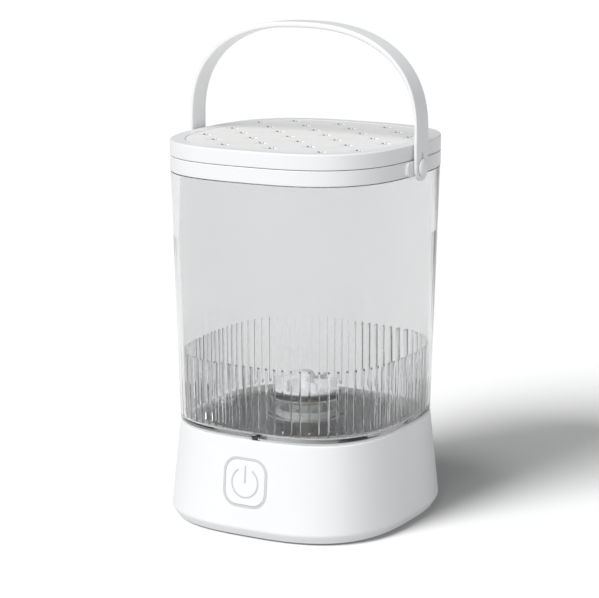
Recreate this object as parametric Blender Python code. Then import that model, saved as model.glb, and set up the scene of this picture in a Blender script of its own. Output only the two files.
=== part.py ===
"""Brush cleaner: a battery machine that spins water round a clear tank to wash make-up brushes.

The frame: +Z up, origin on the floor under the centre of the body, the power button
faces -Y, the charging socket faces +Y and the handle's hinge line runs along X.
Lengths are written in millimetres and turned into metres by MM where meshes are made.
"""
import math

import bmesh
import bpy
from mathutils import Matrix, Vector

MM = 0.001
GAP = 0.3                  # clearance between pieces that touch or are cut for each other

# Body outline: a rounded square with half sides A and B, squared off by the exponent N
BODY_A = 63.5
BODY_B = 65.5
BODY_N = 2.9
SIDES = 48

# Heights of the stacked shells
SHELL_FOOT_Z = 1.2
WIDEST_Z = 5.5
SEAM_Z = 51.5
RING_LOW_Z = 184.0
RING_TOP_Z = 191.8
LID_TOP_Z = 200.0

# How far each level of the outline stands out from the body outline
FOOT_OFFSET = -1.7
WIDEST_OFFSET = 1.0
SEAM_OFFSET = -3.5

# Base
BASE_WALL = 2.4
DECK_TOP_Z = 49.6
DECK_LOW_Z = 47.2
DECK_RIM_OFFSET = -9.0
COLLAR_OUTER_R = 15.9
COLLAR_INNER_R = 13.4
COLLAR_TOP_Z = 57.0
BEARING_BORE_R = 6.3
COVER_SCREW_X = 42.0
COVER_SCREW_Y = 38.0
FOOT_X = 36.0
FOOT_Y = 47.0
KEY_WIDTH = 4.0
KEY_X = 4.0

# Button, square with big corner radii, on the front face
BUTTON_Z = 29.5
BEZEL_SIZE = 25.5
BEZEL_LINE = 1.1
BUTTON_CORNER_R = 8.0
BUTTON_BACK_Y = -59.9

# Drive train: vertical output axis at the centre, motor axis to its left
MODULE = 1.0
GEAR_TEETH = 45
PINION_TEETH = 15
PRESSURE_ANGLE = math.radians(25.0)
BACKLASH = 0.3
MOTOR_X = -(GEAR_TEETH + PINION_TEETH) * MODULE / 2.0
GEAR_LOW_Z = 41.0
GEAR_TOP_Z = 45.0
BRACKET_LOW_Z = 37.6
BRACKET_TOP_Z = 39.2
BRACKET_SCREWS = ((-42.0, -12.0), (-42.0, 12.0), (29.5, 0.0))
MOTOR_R = 10.2
SHAFT_R = 2.0
DOG_R = 9.0
DOG_TEETH = 3

# Tank
TANK_WALL = 2.5
TANK_LOW_Z = SEAM_Z + GAP
FLOOR_TOP_Z = 54.6
HUB_R = 19.0
HUB_TOP_Z = 66.0
RECESS_R = 16.5
RECESS_TOP_Z = 63.5
HUB_BORE_R = 4.5
NECK_LOW_Z = 183.0
RIB_COUNT = 88
RIB_TOP_Z = 90.0
RIB_HEIGHT = 1.5
RIB_SEAT = 0.4
IMPELLER_R = 17.0
VANE_COUNT = 6

# Lid
MAT_OFFSET = -15.0
PAD_OFFSET = -7.8
PAD_LOW_Z = 197.3
PAD_TOP_Z = 199.7
SLIT_PITCH = 13.9
SLIT_GRID = 8
SLIT_R = 0.8

# Handle: two straight legs and a superellipse arch
PIVOT_Z = 188.0
LEG_TOP_Z = 205.0
STRAP_HALF_WIDTH = 6.7
ARCH_POWER = 2.4
ARCH_OUTER = (67.0, 53.7)
ARCH_INNER = (65.3, 50.7)
BOSS_FACE_X = 65.0
PIN_HEAD_R = 4.5
PIN_SHANK_R = 2.2


# ---------------------------------------------------------------- outlines

def body_ring(offset, z, sides=SIDES):
    """Points of the body outline, moved out by offset, at height z."""
    a = BODY_A + offset
    b = BODY_B + offset
    points = []
    for step in range(sides):
        angle = 2.0 * math.pi * step / sides
        across = abs(math.cos(angle)) / a
        along = abs(math.sin(angle)) / b
        radius = (across ** BODY_N + along ** BODY_N) ** (-1.0 / BODY_N)
        points.append((radius * math.cos(angle), radius * math.sin(angle), z))
    return points


def round_ring(radius, z, sides=SIDES):
    """Points of a circle round the Z axis."""
    points = []
    for step in range(sides):
        angle = 2.0 * math.pi * step / sides
        points.append((radius * math.cos(angle), radius * math.sin(angle), z))
    return points


def square_ring(width, depth, corner, z, corner_steps=5):
    """Points of a rectangle with round corners, centred on the Z axis."""
    points = []
    for quarter in range(4):
        middle_x = (width / 2.0 - corner) * (1 if quarter in (0, 3) else -1)
        middle_y = (depth / 2.0 - corner) * (1 if quarter in (0, 1) else -1)
        for step in range(corner_steps + 1):
            angle = math.pi / 2.0 * (quarter + step / corner_steps)
            points.append((middle_x + corner * math.cos(angle), middle_y + corner * math.sin(angle), z))
    return points


def shell_offset(z):
    """Offset of the base's outer wall at height z, between its widest line and the seam."""
    share = (z - WIDEST_Z) / (SEAM_Z - WIDEST_Z)
    return WIDEST_OFFSET + share * (SEAM_OFFSET - WIDEST_OFFSET)


def tank_offset(z):
    """Offset of the tank's outer wall at height z."""
    share = (z - SEAM_Z) / (RING_LOW_Z - SEAM_Z)
    return SEAM_OFFSET * (1.0 - share)


# ---------------------------------------------------------------- solids

def loft(name, rings, material, closed=False, location=(0, 0, 0), rotation=(0, 0, 0)):
    """A solid through a list of rings with equal point counts.

    A closed loft joins its last ring to its first, which gives a wall with a hole through it.
    An open one is capped with a flat face at both ends.
    """
    mesh_data = bmesh.new()
    levels = []
    for ring in rings:
        levels.append([mesh_data.verts.new(Vector(point) * MM) for point in ring])
    sides = len(levels[0])
    pairs = list(zip(levels, levels[1:]))
    if closed:
        pairs.append((levels[-1], levels[0]))
    else:
        mesh_data.faces.new(levels[0])
        mesh_data.faces.new(levels[-1])
    for lower, upper in pairs:
        for step in range(sides):
            following = (step + 1) % sides
            mesh_data.faces.new((lower[step], lower[following], upper[following], upper[step]))
    bmesh.ops.recalc_face_normals(mesh_data, faces=mesh_data.faces)
    return finish_piece(name, mesh_data, material, location, rotation)


def finish_piece(name, mesh_data, material, location=(0, 0, 0), rotation=(0, 0, 0)):
    """Turn a bmesh into a named object with its material, place and smooth shading."""
    mesh = bpy.data.meshes.new(name)
    mesh_data.to_mesh(mesh)
    mesh_data.free()
    mesh.shade_smooth()
    mesh.set_sharp_from_angle(angle=math.radians(35.0))
    mesh.materials.append(material)
    piece = bpy.data.objects.new(name, mesh)
    piece.location = Vector(location) * MM
    piece.rotation_euler = rotation
    bpy.context.scene.collection.objects.link(piece)
    return piece


def turned(name, profile, material, closed=False, location=(0, 0, 0), rotation=(0, 0, 0), sides=18):
    """A turned solid from (radius, z) pairs round the piece's own Z axis."""
    rings = [round_ring(radius, z, sides) for radius, z in profile]
    return loft(name, rings, material, closed, location, rotation)


def tube(name, outer_r, inner_r, low_z, top_z, material, **placing):
    """A plain ring or bush."""
    profile = ((outer_r, low_z), (outer_r, top_z), (inner_r, top_z), (inner_r, low_z))
    return turned(name, profile, material, closed=True, **placing)


def rod(name, radius, low_z, top_z, material, **placing):
    """A plain round bar."""
    return turned(name, ((radius, low_z), (radius, top_z)), material, **placing)


def block(name, low, high, material, **placing):
    """A rectangular block between two corners."""
    corners = ((low[0], low[1]), (high[0], low[1]), (high[0], high[1]), (low[0], high[1]))
    rings = [[(x, y, z) for x, y in corners] for z in (low[2], high[2])]
    return loft(name, rings, material, **placing)


def combine(piece, tools, operation):
    """Join tools to a piece, or cut or intersect it with them, and remove the tools."""
    for tool in tools:
        step = piece.modifiers.new(operation.lower(), "BOOLEAN")
        step.operation = operation
        step.solver = "EXACT"
        step.object = tool
        bpy.context.view_layer.update()
        evaluated = piece.evaluated_get(bpy.context.evaluated_depsgraph_get())
        result = bpy.data.meshes.new_from_object(evaluated)
        piece.modifiers.remove(step)
        piece.data = result
        bpy.data.objects.remove(tool)
    piece.data.name = piece.name
    return piece


def join(piece, *tools):
    """Add the tools to the piece as one body."""
    return combine(piece, tools, "UNION")


def cut(piece, *tools):
    """Take the tools out of the piece."""
    return combine(piece, tools, "DIFFERENCE")


def plastic(name, colour, roughness, metallic=0.0, alpha=1.0):
    """A Principled material."""
    material = bpy.data.materials.new(name)
    material.use_nodes = True
    shader = material.node_tree.nodes["Principled BSDF"]
    shader.inputs["Base Color"].default_value = (*colour, 1.0)
    shader.inputs["Roughness"].default_value = roughness
    shader.inputs["Metallic"].default_value = metallic
    shader.inputs["Alpha"].default_value = alpha
    return material


# ---------------------------------------------------------------- base

def base_shell(white):
    """Outer housing: flared wall, recessed deck with a locating collar, bosses inside."""
    inner = -BASE_WALL
    rings = [
        body_ring(FOOT_OFFSET, SHELL_FOOT_Z),
        body_ring(WIDEST_OFFSET, WIDEST_Z),
        body_ring(shell_offset(SEAM_Z - 0.8), SEAM_Z - 0.8),
        body_ring(SEAM_OFFSET - 0.7, SEAM_Z),
        body_ring(DECK_RIM_OFFSET, SEAM_Z),
        body_ring(DECK_RIM_OFFSET, DECK_TOP_Z),
        round_ring(COLLAR_OUTER_R, DECK_TOP_Z),
        round_ring(COLLAR_OUTER_R, COLLAR_TOP_Z),
        round_ring(COLLAR_INNER_R, COLLAR_TOP_Z),
        round_ring(COLLAR_INNER_R, DECK_TOP_Z),
        round_ring(BEARING_BORE_R, DECK_TOP_Z),
        round_ring(BEARING_BORE_R, DECK_LOW_Z),
        body_ring(shell_offset(DECK_LOW_Z) + inner, DECK_LOW_Z),
        body_ring(WIDEST_OFFSET + inner, WIDEST_Z),
        body_ring(FOOT_OFFSET + inner, SHELL_FOOT_Z),
    ]
    shell = loft("base_shell", rings, white, closed=True)
    bosses = []
    bores = []
    boss_top = DECK_LOW_Z + 1.0
    for x in (-COVER_SCREW_X, COVER_SCREW_X):
        for y in (-COVER_SCREW_Y, COVER_SCREW_Y):
            bosses.append(rod("boss", 4.0, 3.5, boss_top, white, location=(x, y, 0), sides=12))
            bores.append(rod("bore", 1.5, 3.0, 16.0, white, location=(x, y, 0), sides=8))
    for x, y in BRACKET_SCREWS:
        bosses.append(rod("boss", 3.5, BRACKET_TOP_Z + GAP, boss_top, white, location=(x, y, 0), sides=12))
        bores.append(rod("bore", 1.3, BRACKET_TOP_Z, 45.5, white, location=(x, y, 0), sides=8))
    for x in (-16.5, 16.5):
        bosses.append(block("boss", (x - 3.0, -48.5, 36.0), (x + 3.0, -42.0, boss_top), white))
        bores.append(rod("bore", 1.1, -0.5, 5.0, white, location=(x, -48.5, 40.0),
                         rotation=(-math.pi / 2, 0, 0), sides=8))
    key_low = SEAM_Z - 1.0
    bosses.append(block("key", (KEY_X - KEY_WIDTH / 2, -60.4, key_low), (KEY_X + KEY_WIDTH / 2, -58.4, 53.2), white))
    join(shell, *bosses)
    cut(shell, *bores)
    cut(shell, button_prism("button_hole", BEZEL_SIZE + 2 * GAP, BUTTON_CORNER_R + GAP, -75.0, -55.0, white))
    cut(shell, socket_prism("socket_hole", 9.0 + 2 * GAP, 3.2 + 2 * GAP, 56.0, 75.0, white))
    return shell


def button_prism(name, size, corner, low_y, high_y, material):
    """A square bar with round corners along Y, on the button's axis."""
    rings = []
    for y in (low_y, high_y):
        rings.append([(x, y, z + BUTTON_Z) for x, z, _ in square_ring(size, size, corner, 0.0)])
    return loft(name, rings, material)


def socket_prism(name, width, height, low_y, high_y, material):
    """A bar with half-round ends along Y, on the charging socket's axis."""
    rings = []
    for y in (low_y, high_y):
        outline = square_ring(width, height, height / 2.0 - 0.02, 0.0, corner_steps=3)
        rings.append([(x, y, z + 15.5) for x, z, _ in outline])
    return loft(name, rings, material)


def wall_solid(name, offset, material):
    """The space inside the base's outer wall, moved out by offset."""
    rings = []
    for z in (WIDEST_Z, SEAM_Z):
        rings.append(body_ring(shell_offset(z) + offset, z))
    return loft(name, rings, material)


def button_bezel(grey):
    """Thin grey frame round the button, flush with the wall."""
    frame = button_prism("button_bezel", BEZEL_SIZE, BUTTON_CORNER_R, -75.0, BUTTON_BACK_Y - GAP, grey)
    inner = BEZEL_SIZE - 2 * BEZEL_LINE
    cut(frame, button_prism("hole", inner, BUTTON_CORNER_R - BEZEL_LINE, -80.0, -50.0, grey))
    return combine(frame, [wall_solid("wall", 0.1, grey)], "INTERSECT")


def power_button(white):
    """The button's cap follows the wall's curve; a flange keeps it in and a post meets the switch."""
    size = BEZEL_SIZE - 2 * BEZEL_LINE - 2 * GAP
    cap = button_prism("power_button", size, BUTTON_CORNER_R - BEZEL_LINE - GAP, -75.0, -59.0, white)
    combine(cap, [wall_solid("wall", 0.2, white)], "INTERSECT")
    flange = button_prism("flange", BEZEL_SIZE + 1.0, BUTTON_CORNER_R, BUTTON_BACK_Y, -58.7, white)
    post = rod("post", 2.2, -0.5, 3.1, white, location=(0, -58.7, BUTTON_Z), rotation=(-math.pi / 2, 0, 0), sides=12)
    join(cap, flange, post)
    cap.data.transform(Matrix.Translation(Vector((0, -64.0, BUTTON_Z)) * -MM))
    cap.location = Vector((0, -64.0, BUTTON_Z)) * MM
    return cap


def base_cover(white):
    """Bottom plate with its screw holes and two posts for the charging board."""
    cover = loft("base_cover", [body_ring(FOOT_OFFSET - BASE_WALL - GAP, z) for z in (1.2, 3.2)], white)
    posts = []
    holes = []
    for x in (-7.5, 7.5):
        posts.append(rod("post", 2.8, 2.0, 11.7, white, location=(x, 47.5, 0), sides=12))
        holes.append(rod("hole", 1.1, 6.0, 12.5, white, location=(x, 47.5, 0), sides=8))
    for x in (-COVER_SCREW_X, COVER_SCREW_X):
        for y in (-COVER_SCREW_Y, COVER_SCREW_Y):
            step = ((3.1, 0.5), (3.1, 2.1), (1.5, 2.1), (1.5, 4.0))
            holes.append(turned("hole", step, white, location=(x, y, 0), sides=12))
    join(cover, *posts)
    return cut(cover, *holes)


def feet(rubber):
    """Four rubber feet stuck under the cover."""
    for number, (x, y) in enumerate(((-1, -1), (1, -1), (-1, 1), (1, 1)), start=1):
        profile = ((4.6, 0.0), (5.0, 0.3), (5.0, 0.9))
        turned(f"foot_{number}", profile, rubber, location=(x * FOOT_X * 0.72, y * FOOT_Y, 0), sides=16)


def screw(name, head_r, head_h, shank_r, length, steel, **placing):
    """Pan-head screw; the head's bearing face is at z = 0 and the shank goes up from it."""
    profile = ((head_r * 0.75, -head_h), (head_r, -head_h * 0.5), (head_r, 0.0), (shank_r, 0.0), (shank_r, length))
    return turned(name, profile, steel, sides=10, **placing)


def base_screws(steel):
    """Screws of the bottom cover and of the motor bracket, all driven upwards."""
    number = 0
    for x in (-COVER_SCREW_X, COVER_SCREW_X):
        for y in (-COVER_SCREW_Y, COVER_SCREW_Y):
            number += 1
            screw(f"cover_screw_{number}", 2.7, 1.2, 1.2, 12.0, steel, location=(x, y, 1.8))
    for number, (x, y) in enumerate(BRACKET_SCREWS, start=1):
        screw(f"bracket_screw_{number}", 2.4, 1.2, 1.0, 7.0, steel, location=(x, y, BRACKET_LOW_Z - GAP))


def deck_mat(rubber):
    """Dark anti-vibration mat that the tank stands over."""
    low = DECK_TOP_Z + GAP
    top = SEAM_Z - 0.2
    rings = [
        body_ring(MAT_OFFSET, low),
        body_ring(MAT_OFFSET, top),
        round_ring(HUB_R + 1.0, top),
        round_ring(HUB_R + 1.0, low),
    ]
    return loft("deck_mat", rings, rubber, closed=True)


# ---------------------------------------------------------------- drive

def gear_outline(teeth, tip_share, phase):
    """Outline of an involute spur gear with thinned teeth; phase turns a tooth to that angle."""
    pitch_r = MODULE * teeth / 2.0
    base_r = pitch_r * math.cos(PRESSURE_ANGLE)
    root_r = pitch_r - 1.2 * MODULE
    tip_r = pitch_r + tip_share * MODULE
    half_tooth = (math.pi * MODULE / 2.0 - BACKLASH) / (2.0 * pitch_r)

    def flank(radius):
        reach = max(radius, base_r)
        pressure = math.acos(base_r / reach)
        rolled = math.tan(pressure) - pressure
        at_pitch = math.tan(PRESSURE_ANGLE) - PRESSURE_ANGLE
        return half_tooth + at_pitch - rolled

    radii = (root_r, pitch_r, tip_r)
    points = []
    for tooth in range(teeth):
        middle = phase + 2.0 * math.pi * tooth / teeth
        for radius in radii:
            points.append((radius, middle - flank(radius)))
        for radius in reversed(radii):
            points.append((radius, middle + flank(radius)))
    return [(radius * math.cos(angle), radius * math.sin(angle)) for radius, angle in points]


def spur_gear(name, teeth, tip_share, phase, low_z, top_z, bore_r, material, location=(0, 0, 0)):
    """An extruded gear with a round bore."""
    outline = gear_outline(teeth, tip_share, phase)
    rings = [[(x, y, z) for x, y in outline] for z in (low_z, top_z)]
    gear = loft(name, rings, material, location=location)
    return cut(gear, rod("bore", bore_r, low_z - 1.0, top_z + 1.0, material, location=location, sides=16))


def dog(name, disc_low, disc_top, teeth_low, teeth_top, phase, bore_r, material):
    """Half of the dog clutch: a disc with three sector teeth."""
    half = tube(name, DOG_R, bore_r, disc_low, disc_top, material)
    sector_half = math.radians(22.0)
    teeth = []
    for number in range(DOG_TEETH):
        middle = phase + 2.0 * math.pi * number / DOG_TEETH
        outline = []
        for radius, steps in ((4.0, (-1, -0.5, 0, 0.5, 1)), (DOG_R - 0.3, (1, 0.5, 0, -0.5, -1))):
            for step in steps:
                angle = middle + step * sector_half
                outline.append((radius * math.cos(angle), radius * math.sin(angle)))
        rings = [[(x, y, z) for x, y in outline] for z in (teeth_low, teeth_top)]
        teeth.append(loft("tooth", rings, material))
    return join(half, *teeth)


def motor_bracket(steel):
    """Pressed plate across the base that holds the motor and the shaft's lower bearing."""
    middle = -7.0
    rings = [[(x + middle, y, z) for x, y, _ in square_ring(82.0, 32.0, 6.0, 0.0)]
             for z in (BRACKET_LOW_Z, BRACKET_TOP_Z)]
    plate = loft("motor_bracket", rings, steel)
    holes = [
        rod("hole", 3.4, 30.0, 45.0, steel, location=(MOTOR_X, 0, 0), sides=16),
        rod("hole", 4.3, 30.0, 45.0, steel, sides=16),
    ]
    for x, y in BRACKET_SCREWS:
        holes.append(rod("hole", 1.5, 30.0, 45.0, steel, location=(x, y, 0), sides=10))
    for y in (-6.0, 6.0):
        holes.append(rod("hole", 1.2, 30.0, 45.0, steel, location=(MOTOR_X, y, 0), sides=10))
    return cut(plate, *holes)


def motor(steel, black, brass):
    """Motor can, end cap, shaft and fixing screws; the can is bored for its shaft."""
    top = BRACKET_LOW_Z - GAP
    place = (MOTOR_X, 0, 0)
    profile = ((MOTOR_R - 0.8, 11.3), (MOTOR_R, 12.1), (MOTOR_R, top - 0.8), (MOTOR_R - 0.8, top),
               (3.0, top), (3.0, top + 1.4), (1.3, top + 1.4), (1.3, 11.3))
    can = turned("motor_can", profile, steel, closed=True, location=place)
    cut(can, *[rod("hole", 1.1, 33.0, 40.0, steel, location=(MOTOR_X, y, 0), sides=10) for y in (-6.0, 6.0)])
    cap = turned("motor_end_cap", ((8.6, 8.4), (MOTOR_R - 0.4, 9.0), (MOTOR_R - 0.4, 11.0)), black, location=place)
    join(cap, *[block("tab", (MOTOR_X - 1.2, y - 0.3, 6.2), (MOTOR_X + 1.2, y + 0.3, 9.0), black) for y in (-5, 5)])
    rod("motor_shaft", 1.0, 13.0, 45.3, steel, location=place, sides=12)
    spur_gear("pinion_gear", PINION_TEETH, 0.85, math.pi / PINION_TEETH, 40.8, 45.6, 1.3, brass, location=place)
    for number, y in enumerate((-6.0, 6.0), start=1):
        screw(f"motor_screw_{number}", 1.9, 0.8, 0.8, 4.0, steel, location=(MOTOR_X, y, BRACKET_TOP_Z + GAP),
              rotation=(math.pi, 0, 0))


def output_drive(white, gear_plastic, steel, brass, black):
    """Gear, shaft, bearings, seal and dog on the machine's centre line."""
    spur_gear("drive_gear", GEAR_TEETH, 0.85, math.pi + 0.0, GEAR_LOW_Z, GEAR_TOP_Z, SHAFT_R + GAP, gear_plastic)
    rod("output_shaft", SHAFT_R, 36.9, 54.0, steel, sides=16)
    bore = SHAFT_R + GAP
    turned("lower_bearing", ((4.0, 36.6), (4.0, BRACKET_TOP_Z + GAP), (5.5, BRACKET_TOP_Z + GAP), (5.5, 40.4),
                             (bore, 40.4), (bore, 36.6)), brass, closed=True)
    turned("output_bearing", ((BEARING_BORE_R - GAP, 45.9), (BEARING_BORE_R - GAP, DECK_TOP_Z + GAP),
                              (8.0, DECK_TOP_Z + GAP), (8.0, 50.7), (bore, 50.7), (bore, 45.9)), brass, closed=True)
    tube("deck_seal", 5.5, bore, 51.0, 52.1, black)
    dog("drive_dog", 52.4, 54.4, 54.0, 57.2, 0.0, bore, white)


# ---------------------------------------------------------------- electrics

def battery(white, wrap):
    """Round lithium cell lying along X in a cradle on the cover."""
    centre = (0, 32.0, 14.5)
    turned_x = (0, math.pi / 2, 0)
    profile = ((8.4, -32.5), (9.2, -31.9), (9.2, 31.6), (8.4, 32.2), (3.0, 32.2), (3.0, 32.8))
    turned("battery_cell", profile, wrap, location=centre, rotation=turned_x)
    cradle = block("battery_cradle", (-35.2, 21.5, 3.5), (35.2, 42.5, 12.5), white)
    return cut(cradle, rod("hollow", 9.5, -33.1, 33.1, white, location=centre, rotation=turned_x))


def control_board(green, black, steel):
    """Upright board behind the button with its switch, held by two screws."""
    board = block("control_board", (-21.0, -50.4, 13.0), (21.0, -48.8, 44.5), green)
    turned_y = (-math.pi / 2, 0, 0)
    cut(board, *[rod("hole", 1.2, -4.0, 4.0, green, location=(x, -49.6, 40.0), rotation=turned_y, sides=10)
                 for x in (-16.5, 16.5)])
    switch = block("tact_switch", (-3.0, -54.0, BUTTON_Z - 3.0), (3.0, -50.7, BUTTON_Z + 3.0), black)
    cut(switch, rod("hollow", 2.0, -5.0, 2.8, black, location=(0, -54.0, BUTTON_Z), rotation=turned_y, sides=16))
    rod("switch_plunger", 1.6, 0.0, 2.9, black, location=(0, -55.3, BUTTON_Z), rotation=turned_y, sides=16)
    for number, x in enumerate((-16.5, 16.5), start=1):
        screw(f"board_screw_{number}", 2.0, 1.0, 0.8, 6.0, steel, location=(x, -50.7, 40.0), rotation=turned_y)


def charge_board(green, steel):
    """Small board at the back with the charging socket."""
    board = block("charge_board", (-11.0, 43.8, 12.0), (11.0, 58.5, 13.6), green)
    cut(board, *[rod("hole", 1.2, 10.0, 16.0, green, location=(x, 47.5, 0), sides=10) for x in (-7.5, 7.5)])
    socket = socket_prism("usb_port", 9.0, 3.2, 56.0, 64.9, steel)
    cut(socket, socket_prism("mouth", 8.2, 2.4, 58.5, 70.0, steel))
    join(socket, block("tongue", (-3.3, 58.0, 15.15), (3.3, 63.6, 15.85), steel))
    for number, x in enumerate((-7.5, 7.5), start=1):
        screw(f"charge_screw_{number}", 1.9, 1.0, 0.8, 6.0, steel, location=(x, 47.5, 13.9), rotation=(math.pi, 0, 0))


def lead(name, route, colour):
    """A thin insulated wire along a hand-chosen route, smoothed into a curve."""
    curve = bpy.data.curves.new(name, "CURVE")
    curve.dimensions = "3D"
    curve.bevel_depth = 0.7 * MM
    curve.bevel_resolution = 1
    curve.use_fill_caps = True
    steps = 3
    count = len(route)
    points = []
    for index in range(count - 1):
        before = Vector(route[max(index - 1, 0)])
        start = Vector(route[index])
        end = Vector(route[index + 1])
        after = Vector(route[min(index + 2, count - 1)])
        for step in range(steps):
            t = step / steps
            bend = (2 * before - 5 * start + 4 * end - after) * t * t
            twist = (3 * start - before - 3 * end + after) * t * t * t
            points.append((2 * start + (end - before) * t + bend + twist) / 2)
    points.append(Vector(route[-1]))
    spline = curve.splines.new("POLY")
    spline.points.add(len(points) - 1)
    for slot, point in zip(spline.points, points):
        slot.co = (*(point * MM), 1.0)
    curve.materials.append(colour)
    piece = bpy.data.objects.new(name, curve)
    bpy.context.scene.collection.objects.link(piece)
    return piece


def wiring(red, black):
    """Leads from the board to the motor, the cell and the charging board."""
    lead("motor_lead", ((-30.0, -5.0, 5.4), (-30.0, -12.0, 4.8), (-26.0, -30.0, 5.0), (-18.0, -44.0, 8.0),
                        (-17.0, -47.6, 16.0)), red)
    lead("battery_lead", ((33.9, 32.0, 17.5), (36.2, 28.0, 18.5), (37.0, 10.0, 8.0), (33.0, -25.0, 5.5),
                          (20.0, -44.0, 9.0), (17.0, -47.6, 17.0)), red)
    lead("charge_lead", ((-9.0, 42.8, 15.0), (-10.0, 41.0, 21.5), (-11.0, 36.0, 25.2), (-11.5, 29.0, 25.6),
                         (-12.0, 22.0, 20.5), (-12.0, 10.0, 10.0), (-11.0, -20.0, 6.0), (-12.0, -42.0, 10.0),
                         (-12.0, -47.6, 18.0)), black)


# ---------------------------------------------------------------- tank

def tank_shell(clear):
    """Clear tank with a hub over the drive, an eased floor edge and fine ribs round its foot."""
    ring_in = -1.95
    foot = tank_offset(TANK_LOW_Z)
    rings = [
        round_ring(HUB_BORE_R, RECESS_TOP_Z),
        round_ring(RECESS_R, RECESS_TOP_Z),
        round_ring(RECESS_R, TANK_LOW_Z),
        body_ring(foot - 2.6, TANK_LOW_Z),
        body_ring(foot - 0.8, TANK_LOW_Z + 0.8),
        body_ring(foot, TANK_LOW_Z + 3.0),
        body_ring(-0.2, RING_LOW_Z - GAP),
        body_ring(ring_in, RING_LOW_Z - GAP),
        body_ring(ring_in, RING_TOP_Z - 1.9),
        body_ring(ring_in - TANK_WALL, RING_TOP_Z - 1.9),
        body_ring(ring_in - TANK_WALL, NECK_LOW_Z),
        body_ring(tank_offset(NECK_LOW_Z - 3.0) - TANK_WALL, NECK_LOW_Z - 3.0),
        body_ring(foot - TANK_WALL, FLOOR_TOP_Z + 3.0),
        body_ring(foot - TANK_WALL - 3.0, FLOOR_TOP_Z),
        round_ring(HUB_R, FLOOR_TOP_Z),
        round_ring(HUB_R - 0.8, HUB_TOP_Z - 0.8),
        round_ring(HUB_R - 2.0, HUB_TOP_Z),
        round_ring(HUB_BORE_R, HUB_TOP_Z),
    ]
    shell = loft("tank_shell", rings, clear, closed=True)
    half = KEY_WIDTH / 2 + GAP
    cut(shell, block("notch", (KEY_X - half, -64.0, 50.0), (KEY_X + half, -58.1, 53.6), clear))
    return join(shell, rib_liner(clear))


def rib_liner(clear):
    """A band of vertical ribs inside the wall's foot, sunk into the wall on its outer side."""
    rings = []
    for depth_share, z in ((0, RIB_TOP_Z), (1, RIB_TOP_Z), (1, FLOOR_TOP_Z - 0.8), (0, FLOOR_TOP_Z - 0.8)):
        wall = tank_offset(z) - TANK_WALL
        if depth_share == 0:
            rings.append(body_ring(wall + 0.9, z, RIB_COUNT * 2))
            continue
        low = body_ring(wall - RIB_SEAT, z, RIB_COUNT * 2)
        high = body_ring(wall - RIB_SEAT - RIB_HEIGHT, z, RIB_COUNT * 2)
        rings.append([(high if step % 2 else low)[step] for step in range(RIB_COUNT * 2)])
    return loft("rib_liner", rings, clear, closed=True)


def rim_ring(white):
    """White collar over the tank's top edge with a flat boss for the handle at each side."""
    channel_top = RING_TOP_Z - 1.6
    rings = [
        body_ring(-0.3, RING_LOW_Z),
        body_ring(0.0, RING_LOW_Z + 0.4),
        body_ring(0.0, RING_TOP_Z - 0.4),
        body_ring(-0.3, RING_TOP_Z),
        body_ring(-6.4, RING_TOP_Z),
        body_ring(-6.4, RING_LOW_Z),
        body_ring(-4.9, RING_LOW_Z),
        body_ring(-4.9, channel_top),
        body_ring(-1.5, channel_top),
        body_ring(-1.5, RING_LOW_Z),
    ]
    ring = loft("rim_ring", rings, white, closed=True)
    middle = (RING_TOP_Z + RING_LOW_Z) / 2.0
    outline = square_ring(24.0, RING_TOP_Z - RING_LOW_Z - 0.4, 2.5, 0.0)
    bosses = []
    bores = []
    for side in (-1, 1):
        levels = [[(side * x, y, z + middle) for y, z, _ in outline] for x in (62.4, BOSS_FACE_X)]
        bosses.append(loft("boss", levels, white))
        bores.append(rod("bore", PIN_SHANK_R + GAP, 61.6, 66.0, white, location=(0, 0, PIVOT_Z),
                         rotation=(0, side * math.pi / 2, 0), sides=16))
    join(ring, *bosses)
    return cut(ring, *bores)


def pivot_pins(white):
    """Snap pins with domed heads that hold the handle to the bosses."""
    for name, side in (("pivot_pin_left", -1), ("pivot_pin_right", 1)):
        head = ARCH_OUTER[0] + GAP
        profile = ((PIN_SHANK_R - 0.3, 62.4), (PIN_SHANK_R, 62.9), (PIN_SHANK_R, head), (PIN_HEAD_R, head),
                   (PIN_HEAD_R, head + 0.6), (PIN_HEAD_R - 1.0, head + 1.2), (PIN_HEAD_R - 2.6, head + 1.6))
        turned(name, profile, white, location=(0, 0, PIVOT_Z), rotation=(0, side * math.pi / 2, 0), sides=18)


def tank_drive(white, silicone, steel, brass):
    """Bush, seal, shaft, dog and impeller carried by the tank's hub."""
    bore = 1.8
    turned("tank_bush", ((HUB_BORE_R - GAP, 66.2), (HUB_BORE_R - GAP, RECESS_TOP_Z - GAP), (6.0, RECESS_TOP_Z - GAP),
                         (6.0, 61.9), (bore, 61.9), (bore, 66.2)), brass, closed=True)
    tube("shaft_seal", 5.0, bore, 59.9, 61.6, silicone)
    dog("driven_dog", 57.6, 59.6, 54.8, 58.0, math.pi / DOG_TEETH, bore, white)
    rod("impeller_shaft", 1.5, 57.0, 73.0, steel, sides=12)
    body = turned("impeller", ((IMPELLER_R, 66.6), (IMPELLER_R, 68.0), (5.0, 68.4), (4.6, 74.5), (3.4, 76.0)), white)
    vanes = []
    for number in range(VANE_COUNT):
        vane = block("vane", (3.0, -0.8, 67.5), (IMPELLER_R - 0.4, 0.8, 72.5), white)
        vane.data.transform(Matrix.Rotation(2.0 * math.pi * number / VANE_COUNT, 4, "Z"))
        vanes.append(vane)
    join(body, *vanes)
    cut(body, rod("bore", bore, 60.0, 73.4, white, sides=16))


# ---------------------------------------------------------------- lid and handle

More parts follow.
